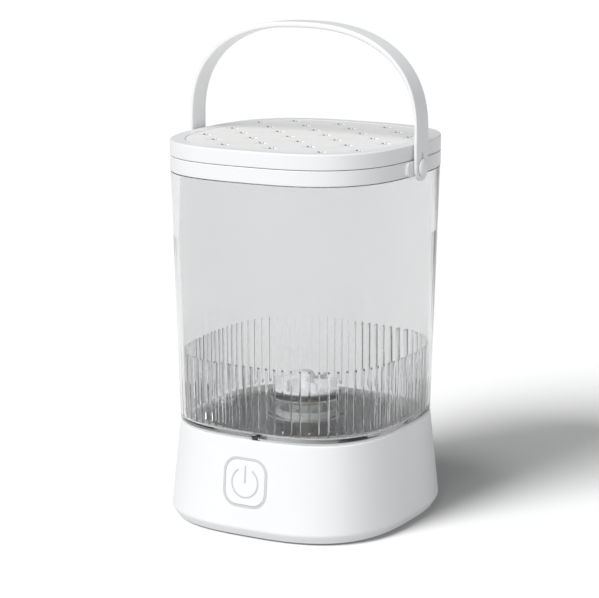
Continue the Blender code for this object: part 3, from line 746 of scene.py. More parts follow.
def carve(piece: bpy.types.Object, tool: bmesh.types.BMesh,
          operation: str = "DIFFERENCE") -> bpy.types.Object:
    """Cut a piece with a tool, or join them, and bake the result into the piece's mesh.

    Args:
        piece: The object to change.
        tool: The shape that cuts or joins.
        operation: DIFFERENCE, UNION or INTERSECT.

    Returns:
        The same object with its new mesh.
    """
    cutter = object_of(tool, "cutter")
    step = piece.modifiers.new("carve", "BOOLEAN")
    step.operation = operation
    step.solver = "EXACT"
    step.object = cutter
    bpy.context.view_layer.update()
    result = bpy.data.meshes.new_from_object(piece.evaluated_get(bpy.context.evaluated_depsgraph_get()))
    piece.modifiers.remove(step)
    old = piece.data
    piece.data = result
    bpy.data.meshes.remove(old)
    worn = cutter.data
    bpy.data.objects.remove(cutter)
    bpy.data.meshes.remove(worn)
    return piece


@dataclass
class Workshop:
    """Finishes pieces: shading, material, body, and the CAD nodes that they stand for."""

    palette: Palette

    def finish(self, made: bmesh.types.BMesh | bpy.types.Object, name: str, body: str,
               material: bpy.types.Material, slot: str, replaces: Sequence[str] = (),
               sharp: float = 32.0, even: bool = True) -> bpy.types.Object:
        """Turn a shape or object into a finished piece.

        Args:
            made: The shape, or an object whose mesh is final.
            name: The piece's name.
            body: The body that it rides on.
            material: Its finish.
            slot: Name of its material slot; not used.
            replaces: CAD nodes that it stands for.
            sharp: Edges over this many degrees stay crisp.
            even: True to weight the shading by face area.

        Returns:
            The piece.
        """
        piece = made if isinstance(made, bpy.types.Object) else object_of(made, name)
        piece.name = name
        piece.data.name = name
        piece.data.shade_smooth()
        piece.data.set_sharp_from_angle(angle=math.radians(sharp))
        piece.data.materials.clear()
        piece.data.materials.append(material)
        if even:
            shading = piece.modifiers.new("even_shading", "WEIGHTED_NORMAL")
            shading.keep_sharp = True
        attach(piece, body)
        if replaces:
            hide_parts(*replaces)
        LOG.info("%s: %d faces on %s", name, len(piece.data.polygons), body)
        return piece

    def dress(self, node: str, material: bpy.types.Material) -> None:
        """Give a CAD node its finish."""
        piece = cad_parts[node]
        if not piece.material_slots:
            piece.data.materials.append(material)
        piece.material_slots[0].material = material
        LOG.info("%s: dressed", node)


def top_of(node: str) -> float:
    """Highest point of a CAD node in millimetres."""
    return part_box(node)[1].z / MM


def foot_of(node: str) -> float:
    """Lowest point of a CAD node in millimetres."""
    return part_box(node)[0].z / MM


LID_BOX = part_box("lid_frame")
BODY = Outline(LID_BOX[1].x / MM, LID_BOX[1].y / MM)


# ------------------------------------------------------------------ base

@dataclass
class Base:
    """The white housing with everything fixed to it."""

    shop: Workshop
    widest_z: float = 5.5
    widest_offset: float = 1.0
    seam_offset: float = -3.5
    foot_offset: float = -1.7
    wall: float = 2.4
    rim_offset: float = -9.0
    deck_z: float = 49.6
    collar_outer: float = 15.9
    collar_inner: float = 13.4
    bore: float = 6.3
    button_z: float = 29.5
    hole_size: float = 25.7
    hole_corner: float = 8.1
    front_y: float = -63.0
    socket_z: float = 15.5
    socket_size: tuple[float, float] = (9.0, 3.2)
    mouth_size: tuple[float, float] = (8.3, 2.5)
    tongue_size: tuple[float, float] = (6.6, 0.7)
    socket_gap: float = 0.4
    key_x: float = 4.0
    key_y: float = -59.4
    key_size: tuple[float, float] = (4.0, 2.0)
    key_top: float = 53.2
    cover_gap: float = 0.25
    cover_thickness: float = 2.0
    vent_count: int = 7
    vent_pitch: float = 4.0
    vent_size: tuple[float, float] = (1.6, 16.0)
    post_x: float = 7.5
    post_y: float = 47.5
    mat_inner: float = 20.0
    mat_outer: float = -15.0
    groove_offsets: tuple[float, float] = (-21.0, -29.0)
    groove_depth: float = 0.5

    @property
    def seam_z(self) -> float:
        """Height of the seam between base and tank."""
        return foot_of("tank_shell") - 0.3

    def offset_at(self, z: float) -> float:
        """Offset of the outer wall at a height."""
        share = (z - self.widest_z) / (self.seam_z - self.widest_z)
        return self.widest_offset + share * (self.seam_offset - self.widest_offset)

    def build(self) -> None:
        """Make the housing and what it carries."""
        self.housing()
        self.cover()
        self.feet()
        self.mat()
        self.socket()
        self.fasteners()
        self.dressed_nodes()

    def housing(self) -> None:
        """Flared shell with its deck, collar, key and openings."""
        palette = self.shop.palette
        seam = self.seam_z
        low = foot_of("base_shell")
        inner = -self.wall
        deck_low = self.deck_z - self.wall
        corners = [
            Corner(self.foot_offset, low, 0.3),
            Corner(self.widest_offset, self.widest_z, 3.2),
            Corner(self.seam_offset, seam, 0.7),
            Corner(self.rim_offset, seam, 0.5),
            Corner(self.rim_offset, self.deck_z, 0.4),
            Corner(self.collar_outer, self.deck_z, 0.5, Plan.ROUND),
            Corner(self.collar_outer, top_of("base_shell"), 0.6, Plan.ROUND),
            Corner(self.collar_inner, top_of("base_shell"), 0.4, Plan.ROUND),
            Corner(self.collar_inner, self.deck_z, 0.4, Plan.ROUND),
            Corner(self.bore, self.deck_z, 0.2, Plan.ROUND),
            Corner(self.bore, deck_low, 0.2, Plan.ROUND),
            Corner(self.offset_at(deck_low) + inner, deck_low, 1.0),
            Corner(self.widest_offset + inner, self.widest_z, 2.0),
            Corner(self.foot_offset + inner, low, 0.2),
        ]
        shell = object_of(Sweep.even(256).solid(corners), "base_shell_fine")
        hole = prism(rounded_square(self.hole_size, self.hole_size, self.hole_corner, 12), -10.0, 10.0)
        carve(shell, turn_shape(hole, moved(0, self.front_y, self.button_z) @ facing("X", 90)))
        width, height = (side + self.socket_gap for side in self.socket_size)
        slot = prism(rounded_square(width, height, height / 2.0 - 0.01, 8), -10.0, 10.0)
        carve(shell, self.on_socket_axis(slot, -self.front_y))
        self.shop.finish(shell, "base_shell_fine", "base", palette.white, "white_plastic",
                         ["base_shell"])
        # Painted shade: the key is dark rubber so that it reads as the shadowed notch at the seam.
        key = prism(rounded_square(*self.key_size, 0.4, 4), seam + 0.02, self.key_top, 0.2)
        turn_shape(key, moved(self.key_x, self.key_y, 0))
        self.shop.finish(key, "seam_key_painted_shade", "base", palette.rubber, "dark_rubber")

    def cover(self) -> None:
        """Bottom plate with counterbored screw holes, vents and screw posts."""
        low = foot_of("base_cover")
        high = low + self.cover_thickness
        offset = self.foot_offset - self.wall - self.cover_gap
        plate = object_of(Sweep.even(128).solid([Corner(offset, low), Corner(offset, high)],
                                                closed=False), "cover")
        counterbore = [(3.2, 0.0, 0.0), (3.2, 2.1, 0.0), (1.5, 2.1, 0.0), (1.5, 5.0, 0.0)]
        cuts = [turn_shape(turned(counterbore, 32), moved(x, y, 0)) for x, y in self.screw_places()]
        vent_places = [(number - (self.vent_count - 1) / 2.0) * self.vent_pitch
                       for number in range(self.vent_count)]
        vents = [turn_shape(prism(rounded_square(*self.vent_size, 0.79, 6), -1.0, 5.0), moved(x, 0, 0))
                 for x in vent_places]
        carve(plate, merged(cuts))
        carve(plate, merged(vents))
        posts = [turn_shape(turned([(2.8, 2.0, 0.0), (2.8, 11.7, 0.3)], 24), moved(x, self.post_y, 0))
                 for x in (-self.post_x, self.post_x)]
        carve(plate, merged(posts), "UNION")
        self.shop.finish(plate, "base_cover_fine", "base", self.shop.palette.white, "white_plastic",
                         ["base_cover"])

    def screw_places(self) -> list[tuple[float, float]]:
        """Axes of the cover screws, read from the frame."""
        places = []
        for number in range(1, 5):
            low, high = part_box(f"cover_screw_{number}")
            places.append(((low.x + high.x) / 2 / MM, (low.y + high.y) / 2 / MM))
        return places

    def feet(self) -> None:
        """Domed rubber feet with an eased rim."""
        for number in range(1, 5):
            low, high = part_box(f"foot_{number}")
            foot = turned([(4.6, 0.0, 0.25), (5.0, 0.45, 0.2), (5.0, 0.9, 0.0)], 48)
            turn_shape(foot, moved((low.x + high.x) / 2 / MM, (low.y + high.y) / 2 / MM, 0))
            self.shop.finish(foot, f"foot_{number}_fine", "base", self.shop.palette.rubber,
                             "dark_rubber", [f"foot_{number}"])

    def mat(self) -> None:
        """Ring mat with two round grooves."""
        low, high = foot_of("deck_mat"), top_of("deck_mat")
        corners = [Corner(self.mat_outer, low), Corner(self.mat_outer, high, 0.3)]
        for groove in self.groove_offsets:
            corners += [Corner(groove, high, 0.2), Corner(groove - 0.5, high - self.groove_depth, 0.1),
                        Corner(groove - 1.5, high - self.groove_depth, 0.1),
                        Corner(groove - 2.0, high, 0.2)]
        corners += [Corner(self.mat_inner, high, 0.3, Plan.ROUND),
                    Corner(self.mat_inner, low, 0.0, Plan.ROUND)]
        self.shop.finish(Sweep.even(192).solid(corners), "deck_mat_fine", "base",
                         self.shop.palette.rubber, "dark_rubber", ["deck_mat"])

    def socket(self) -> None:
        """Charging socket: a drawn steel tube with a contact tongue."""
        low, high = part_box("usb_port")
        face = high.y / MM
        length = (high.y - low.y) / MM
        tube = prism(rounded_square(*self.socket_size, 1.58, 8), 0.0, length, 0.15)
        tube = object_of(self.on_socket_axis(tube, face), "usb")
        mouth = prism(rounded_square(*self.mouth_size, 1.24, 8), -1.0, length - 2.0)
        carve(tube, self.on_socket_axis(mouth, face))
        self.shop.finish(tube, "usb_port_fine", "base", self.shop.palette.steel, "steel", ["usb_port"])
        tongue = prism(rounded_square(*self.tongue_size, 0.2, 3), 1.3, length - 1.8, 0.1)
        self.on_socket_axis(tongue, face)
        self.shop.finish(tongue, "usb_tongue", "base", self.shop.palette.black, "black_plastic")

    def on_socket_axis(self, shape: bmesh.types.BMesh, face_y: float) -> bmesh.types.BMesh:
        """Lay a shape made along Z onto the charging socket's axis, its foot at face_y."""
        return turn_shape(shape, moved(0, face_y, self.socket_z) @ facing("X", 90))

    def fasteners(self) -> None:
        """Cross-head screws of the cover."""
        for number, (x, y) in enumerate(self.screw_places(), start=1):
            node = f"cover_screw_{number}"
            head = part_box(node)[0].z / MM
            body = turned([(1.9, 0.0, 0.1), (2.7, 0.5, 0.3), (2.7, 1.2, 0.1), (1.2, 1.2, 0.0),
                           (1.2, 12.8, 0.0), (0.4, 13.2, 0.0)], 32)
            screw = object_of(turn_shape(body, moved(x, y, head)), node)
            for turn in (20, 110):
                arm = prism(rounded_square(2.9, 0.6, 0.1, 2), -1.0, 0.75)
                carve(screw, turn_shape(arm, moved(x, y, head) @ facing("Z", turn)))
            self.shop.finish(screw, f"{node}_fine", "base", self.shop.palette.steel, "steel", [node])

    def dressed_nodes(self) -> None:
        """Finishes of the pieces that the housing hides."""
        palette = self.shop.palette
        finishes = {
            "bracket_screw_1 bracket_screw_2 bracket_screw_3 motor_screw_1 motor_screw_2": palette.steel,
            "board_screw_1 board_screw_2 charge_screw_1 charge_screw_2 motor_bracket": palette.steel,
            "motor_can": palette.can,
            "motor_end_cap deck_seal tact_switch charge_lead": palette.black,
            "lower_bearing output_bearing": palette.brass,
            "battery_cell": palette.wrap,
            "battery_cradle": palette.white,
            "control_board charge_board": palette.board,
            "motor_lead battery_lead": palette.red_wire,
        }
        for nodes, material in finishes.items():
            for node in nodes.split():
                self.shop.dress(node, material)


@dataclass
class PowerButton:
    """The button, its grey frame and the power mark, all curved to follow the front wall."""

    shop: Workshop
    base: Base
    frame_size: float = 25.5
    frame_line: float = 1.1
    corner: float = 8.0
    mark_radius: float = 7.6
    mark_line: float = 0.75
    mark_gap: float = 32.0

    def build(self) -> None:
        """Make the frame, the cap and the mark."""
        palette = self.shop.palette
        inner = self.frame_size - 2 * self.frame_line
        ring = object_of(self.draped_block(self.frame_size, self.corner, -0.1, 3.4, 0.15), "ring")
        opening = prism(rounded_square(inner, inner, self.corner - self.frame_line, 12), -10.0, 10.0)
        carve(ring, turn_shape(opening, moved(0, -63.0, self.base.button_z) @ facing("X", 90)))
        self.shop.finish(ring, "button_bezel_fine", "base", palette.grey, "grey_plastic",
                         ["button_bezel"])
        size = inner - 0.24
        cap = self.draped_block(size, self.corner - self.frame_line - 0.12, -0.22, 3.0, 0.35)
        self.shop.finish(cap, "power_button_fine", "button", palette.white, "white_plastic",
                         ["power_button"])
        self.shop.dress("switch_plunger", palette.black)
        self.arc()
        self.bar()

    def draped_block(self, size: float, corner: float, proud: float, depth: float,
                     ease: float) -> bmesh.types.BMesh:
        """A round-cornered block whose face follows the wall.

        Args:
            size: Side of the square.
            corner: Corner radius.
            proud: Place of its face from the wall, negative outwards.
            depth: Place of its back from the wall.
            ease: Bevel of its edges.

        Returns:
            The block in place.
        """
        block = prism(rounded_square(size, size, corner, 12), -depth, -proud, ease)
        bmesh.ops.subdivide_edges(block, edges=[e for e in block.edges if e.calc_length() > 6 * MM],
                                  cuts=6, use_grid_fill=True)
        return self.drape(turn_shape(block, facing("X", 90)))

    def drape(self, shape: bmesh.types.BMesh) -> bmesh.types.BMesh:
        """Carry a shape made around the origin, facing -Y, onto the front wall."""
        for vertex in shape.verts:
            x, y, z = (value / MM for value in vertex.co)
            height = z + self.base.button_z
            wall = BODY.front_y(x, self.base.offset_at(height))
            vertex.co = Vector((x, wall + y, height)) * MM
        bmesh.ops.recalc_face_normals(shape, faces=shape.faces)
        return shape

    def arc(self) -> None:
        """The open ring of the power mark."""
        shape = bmesh.new()
        half = self.mark_line / 2.0
        section = [(self.mark_radius - half, 0.2), (self.mark_radius + half, 0.2),
                   (self.mark_radius + half, 0.32), (self.mark_radius - half, 0.32)]
        ring = [shape.verts.new(Vector((radius, -height, 0.0)) * MM) for radius, height in section]
        start = shape.faces.new(ring)
        turn_shape(shape, Matrix.Rotation(math.radians(-90 + self.mark_gap), 4, "Y"))
        sweep = math.radians(360 - 2 * self.mark_gap)
        bmesh.ops.spin(shape, geom=[start, *start.edges, *start.verts], cent=(0, 0, 0), axis=(0, 1, 0),
                       angle=sweep, steps=72, use_duplicate=False)
        bmesh.ops.remove_doubles(shape, verts=shape.verts, dist=1e-7)
        bmesh.ops.holes_fill(shape, edges=shape.edges)
        self.shop.finish(self.drape(shape), "power_mark_arc", "button", self.shop.palette.mark,
                         "grey_plastic")

    def bar(self) -> None:
        """The upright bar of the power mark."""
        length = 9.0
        bar = prism(rounded_square(self.mark_line, length, self.mark_line / 2 - 0.01, 6), 0.2, 0.32)
        turn_shape(bar, moved(0, 0, self.mark_radius + 1.2 - length / 2) @ facing("X", 90))
        self.shop.finish(self.drape(bar), "power_mark_bar", "button", self.shop.palette.mark,
                         "grey_plastic")


# ------------------------------------------------------------------ drive

@dataclass
class Drive:
    """Gears, shafts and dogs: dressed where hidden, rebuilt where the clear tank shows them."""

    shop: Workshop
    vane_count: int = 6
    vane_steps: int = 8
    vane_start: float = 3.2
    vane_length: float = 13.2
    vane_sweep: float = 20.0
    vane_thickness: float = 1.5

    def build(self) -> None:
        """Dress the moving drive pieces."""
        palette = self.shop.palette
        self.shop.dress("drive_gear", palette.acetal)
        for node in ("output_shaft", "motor_shaft", "impeller_shaft"):
            self.shop.dress(node, palette.steel)
        for node in ("pinion_gear", "tank_bush"):
            self.shop.dress(node, palette.brass)
        for node in ("drive_dog", "driven_dog"):
            self.shop.dress(node, palette.white)
        self.shop.dress("shaft_seal", palette.seal)
        self.impeller()

    def impeller(self) -> None:
        """White impeller with curved vanes round a domed boss."""
        low = foot_of("impeller")
        profile = [(17.0, low, 0.3), (17.0, low + 1.3, 0.5), (6.0, low + 1.7, 1.2),
                   (4.6, low + 7.9, 0.8), (3.0, low + 9.4, 0.9), (0.6, low + 9.4, 0.0)]
        disc = object_of(turned(profile, 72), "impeller")
        for number in range(self.vane_count):
            carve(disc, self.vane(360.0 / self.vane_count * number, low), "UNION")
        bore = turned([(1.8, low - 1.0, 0.0), (1.8, low + 6.8, 0.0)], 32)
        carve(disc, bore)
        self.shop.finish(disc, "impeller_fine", "impeller", self.shop.palette.white, "white_plastic",
                         ["impeller"])

    def vane(self, turn: float, low: float) -> bmesh.types.BMesh:
        """One swept-back vane at an angle in degrees."""
        left: list[tuple[float, float]] = []
        right: list[tuple[float, float]] = []
        for step in range(self.vane_steps + 1):
            share = step / self.vane_steps
            radius = self.vane_start + share * self.vane_length
            bend = math.radians(self.vane_sweep * share * share)
            half = self.vane_thickness / 2.0 / radius
            left.append((radius * math.cos(bend + half), radius * math.sin(bend + half)))
            right.append((radius * math.cos(bend - half), radius * math.sin(bend - half)))
        outline = right + left[::-1]
        return turn_shape(prism(outline, low + 0.9, low + 5.9, 0.3), facing("Z", turn))


# ------------------------------------------------------------------ tank

@dataclass
class Tank:
    """Clear tank with its ribbed foot, and the white rim ring with the handle's bosses."""

    shop: Workshop
    base: Base
    wall: float = 2.5
    rib_count: int = 88
    rib_height: float = 1.9
    rib_tip: float = 0.16
    rib_root: float = 0.2
    rib_top: float = 90.0
    floor_z: float = 54.6
    hub_radius: float = 19.0
    hub_top: float = 66.0
    recess_radius: float = 16.5
    recess_top: float = 63.5
    hub_bore: float = 4.5
    pivot_z: float = 188.0
    notch_size: tuple[float, float] = (4.6, 6.0)
    notch_y: float = -61.1
    neck_outer: float = -1.95
    neck_inner: float = -4.45
    taper_foot: float = 150.0
    ring_inner: float = -6.4
    ring_channel_inner: float = -4.9
    ring_channel_outer: float = -1.5
    ring_top_wall: float = 1.6
    boss_length: float = 24.0
    boss_start: float = 62.4
    pin_start: float = 62.4
    pin_shank: float = 2.2
    pin_head: float = 4.5
    pin_dome: float = 1.45
    dome_steps: int = 10

    def wall_offset(self, z: float) -> float:
        """Offset of the outer wall at a height."""
        seam = self.base.seam_z
        share = (z - seam) / (foot_of("rim_ring") - seam)
        return self.base.seam_offset * (1.0 - share)

    def build(self) -> None:
        """Make the tank and its ring."""
        self.clear_shell()
        self.rim_ring()
        self.pins()

    def rib_angles(self) -> list[float]:
        """Directions of the mesh's columns: ten to a rib, crowded at its flanks."""
        tip, root = self.rib_tip / 2.0, self.rib_root / 2.0
        shares = [0.0, 0.2, 0.5 - root * 1.6, 0.5 - root, 0.5 - tip, 0.5, 0.5 + tip, 0.5 + root,
                  0.5 + root * 1.6, 0.8]
        period = 2.0 * math.pi / self.rib_count
        return [period * (number + share) for number in range(self.rib_count) for share in shares]

    def rib_depth(self, angle: float) -> float:
        """How far the rib surface stands in from the wall at an angle."""
        share = (angle / (2.0 * math.pi) * self.rib_count) % 1.0
        away = abs(share - 0.5)
        tip, root = self.rib_tip / 2.0, self.rib_root / 2.0
        if away <= tip + 1e-6:
            crown = 0.18 * (away / tip)
            return self.rib_height - crown
        if away >= root - 1e-6:
            return 0.0
        return self.rib_height * (root - away) / (root - tip)

    def clear_shell(self) -> None:
        """The clear moulding, ribs and hub in one surface."""
        foot = foot_of("tank_shell")
        lip = foot_of("rim_ring") - 0.3
        rim = top_of("tank_shell")
        wall = self.wall_offset(foot)
        inner = -self.wall
        rib_levels = [(self.rib_top - 0.05, 0.35), (self.rib_top - 0.3, 0.7), (self.rib_top - 0.8, 0.92),
                      (self.rib_top - 1.6, 1.0), (72.0, 1.0), (self.floor_z + 3.4, 1.0),
                      (self.floor_z + 2.6, 0.6)]
        rib_wall = [Corner(self.wall_offset(z) + inner, z, 0.0, Plan.RIBBED, share)
                    for z, share in rib_levels]
        corners = [
            Corner(self.hub_bore, self.recess_top, 0.2, Plan.ROUND),
            Corner(self.recess_radius, self.recess_top, 1.2, Plan.ROUND),
            Corner(self.recess_radius, foot, 0.4, Plan.ROUND),
            Corner(wall, foot, 2.4),
            Corner(-0.2, lip, 0.15),
            Corner(self.neck_outer, lip, 0.2),
            Corner(self.neck_outer, rim, 0.5),
            Corner(self.neck_inner, rim, 0.5),
            Corner(self.neck_inner, lip + 1.5, 2.0),
            Corner(self.wall_offset(self.taper_foot) + inner, self.taper_foot, 4.0),
            Corner(self.wall_offset(self.rib_top) + inner, self.rib_top, 0.0),
            *rib_wall,
            Corner(self.wall_offset(self.floor_z) + inner, self.floor_z, 2.4),
            Corner(self.hub_radius, self.floor_z, 1.4, Plan.ROUND),
            Corner(self.hub_radius, self.hub_top, 1.8, Plan.ROUND),
            Corner(self.hub_bore, self.hub_top, 0.3, Plan.ROUND),
        ]
        sweep = Sweep(self.rib_angles(), self.rib_depth, 18.0)
        shell = object_of(sweep.solid(corners), "tank")
        notch = prism(rounded_square(*self.notch_size, 0.3, 3), foot - 2.0, foot + 1.8)
        carve(shell, turn_shape(notch, moved(self.base.key_x, self.notch_y, 0)))
        self.shop.finish(shell, "tank_shell_fine", "tank", self.shop.palette.clear, "clear_plastic",
                         ["tank_shell"], sharp=40.0, even=False)

    def rim_ring(self) -> None:
        """White ring over the tank's edge, with a boss at each side for the handle."""
        low, high = foot_of("rim_ring"), top_of("rim_ring")
        ceiling = high - self.ring_top_wall
        corners = [
            Corner(0.0, low, 0.45), Corner(0.0, high, 0.45),
            Corner(self.ring_inner, high, 0.4), Corner(self.ring_inner, low, 0.4),
            Corner(self.ring_channel_inner, low, 0.3), Corner(self.ring_channel_inner, ceiling, 0.3),
            Corner(self.ring_channel_outer, ceiling, 0.3), Corner(self.ring_channel_outer, low, 0.2),
        ]
        ring = object_of(Sweep.even(256).solid(corners), "ring")
        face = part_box("rim_ring")[1].x / MM
        height = high - low - 0.4
        for side in (-1, 1):
            boss = prism(rounded_square(height, self.boss_length, 2.4, 8), self.boss_start, face, 0.5)
            turn = moved(0, 0, (high + low) / 2) @ facing("Y", 90 * side)
            carve(ring, turn_shape(boss, turn), "UNION")
            bore = turned([(2.5, 61.6, 0.0), (2.5, 70.0, 0.0)], 32)
            carve(ring, turn_shape(bore, moved(0, 0, self.pivot_z) @ facing("Y", 90 * side)))
        self.shop.finish(ring, "rim_ring_fine", "tank", self.shop.palette.white, "white_plastic",
                         ["rim_ring"])

    def pins(self) -> None:
        """Snap pins with domed heads."""
        for name, side in (("pivot_pin_left", -1), ("pivot_pin_right", 1)):
            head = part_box("handle")[1].x / MM + 0.3
            turns = [math.pi / 2.0 * step / self.dome_steps for step in range(self.dome_steps)]
            dome = [(self.pin_head * math.cos(turn), head + 0.15 + self.pin_dome * math.sin(turn), 0.0)
                    for turn in turns]
            profile = [(self.pin_shank - 0.3, self.pin_start, 0.2),
                       (self.pin_shank, self.pin_start + 0.5, 0.1),
                       (self.pin_shank, head, 0.0), (self.pin_head, head, 0.0), *dome]
            pin = turn_shape(turned(profile, 64), moved(0, 0, self.pivot_z) @ facing("Y", 90 * side))
            self.shop.finish(pin, f"{name}_fine", "tank", self.shop.palette.white, "white_plastic",
                             [name])


# ------------------------------------------------------------------ lid and handle

@dataclass
class Lid:
    """White lid frame, the soft pad with its star slits and the seal."""

    shop: Workshop
    rim_offset: float = -7.0
    pad_offset: float = -7.48
    pad_rise: float = 0.1
    seat_inner: float = -10.8
    seat_foot: float = 195.0
    skirt_inner: float = -9.6
    skirt_outer: float = -8.0
    band_inner: float = -2.0
    top_wall: float = 2.6
    seal_root: float = -7.7
    seal_face: float = -7.0
    seal_lip: float = -6.5
    seal_waist: float = -7.1
    grid: int = 8
    pitch: float = 13.9
    dimple_radius: float = 2.4
    dimple_depth: float = 1.2
    dimple_shift: tuple[float, float] = (1.4, -0.2)
    slit_radius: float = 4.9
    slit_width: float = 0.3
    eye_radius: float = 0.95
    rays: int = 6

    def build(self) -> None:
        """Make the frame and the pad, and dress the seal."""
        self.rim()
        self.pad()
        self.seal()

    def rim(self) -> None:
        """Lid frame with an eased outer edge, the pad's seat and the plug skirt."""
        low = foot_of("lid_frame")
        top = top_of("lid_frame")
        band = top_of("rim_ring") + 0.3
        seat = foot_of("brush_pad") - 0.3
        corners = [
            Corner(0.0, band, 0.4), Corner(0.0, top, 0.9), Corner(self.rim_offset, top, 0.4),
            Corner(self.rim_offset - 0.45, seat, 0.2),
            Corner(self.seat_inner, seat, 0.3), Corner(self.seat_inner, self.seat_foot, 0.3),
            Corner(self.skirt_inner, self.seat_foot, 0.3), Corner(self.skirt_inner, low, 0.4),
            Corner(self.skirt_outer, low, 0.4), Corner(self.skirt_outer, band + self.top_wall, 0.4),
            Corner(self.band_inner, band + self.top_wall, 0.4), Corner(self.band_inner, band, 0.3),
        ]
        self.shop.finish(Sweep.even(256).solid(corners), "lid_frame_fine", "lid",
                         self.shop.palette.white, "white_plastic", ["lid_frame"])

    def slit_places(self) -> list[tuple[float, float]]:
        """Centres of the slits: every other node of a square grid, without two corners."""
        middle = (self.grid - 1) / 2.0
        last = self.grid - 1
        return [((column - middle) * self.pitch, (row - middle) * self.pitch)
                for column in range(self.grid) for row in range(self.grid)
                if (column + row) % 2 == 0 and (column, row) not in ((0, 0), (last, last))]

    def star(self) -> list[tuple[float, float]]:
        """Outline of a slit: a small eye with narrow rays."""
        outline = []
        for ray in range(self.rays):
            middle = 2.0 * math.pi * ray / self.rays
            near = math.asin(self.slit_width / 2.0 / self.eye_radius)
            far = math.asin(self.slit_width / 2.0 / self.slit_radius)
            for radius, angle in ((self.eye_radius, -near), (self.slit_radius, -far),
                                  (self.slit_radius, far), (self.eye_radius, near)):
                outline.append((radius * math.cos(middle + angle), radius * math.sin(middle + angle)))
        return outline

    def pad(self) -> None:
        """Soft pad: a plate with a dimple and a star slit at each place."""
        low, high = foot_of("brush_pad"), top_of("brush_pad") + self.pad_rise
        plate = object_of(Sweep.even(192).solid([Corner(self.pad_offset, low),
                                                 Corner(self.pad_offset, high)], False), "pad")
        depth = high - self.dimple_depth
        bowl = [(0.5, depth, 0.0), (1.3, depth + 0.15, 0.0), (1.9, depth + 0.6, 0.0),
                (self.dimple_radius, high + 0.02, 0.0), (self.dimple_radius + 1.0, high + 1.0, 0.0)]
        places = self.slit_places()
        shift_x, shift_y = self.dimple_shift
        dimples = [turn_shape(turned(bowl, 24), moved(x + shift_x, y + shift_y, 0)) for x, y in places]
        carve(plate, merged(dimples))
        stars = [turn_shape(prism(self.star(), low - 1.0, high + 1.0), moved(x, y, 0) @ facing("Z", 15))
                 for x, y in places]
        carve(plate, merged(stars))
        self.shop.finish(plate, "brush_pad_fine", "lid", self.shop.palette.pad, "white_silicone",
                         ["brush_pad"], sharp=25.0)

    def seal(self) -> None:
        """Sealing ring with two soft lips."""
        low, high = foot_of("lid_seal"), top_of("lid_seal")
        middle = (low + high) / 2
        corners = [
            Corner(self.seal_root, low, 0.1), Corner(self.seal_face, low, 0.1),
            Corner(self.seal_lip, low + 0.3, 0.1), Corner(self.seal_waist, middle, 0.1),
            Corner(self.seal_lip, high - 0.3, 0.1), Corner(self.seal_face, high, 0.1),
            Corner(self.seal_root, high, 0.1),
        ]
        self.shop.finish(Sweep.even(192).solid(corners), "lid_seal_fine", "lid", self.shop.palette.seal,
                         "white_silicone", ["lid_seal"])


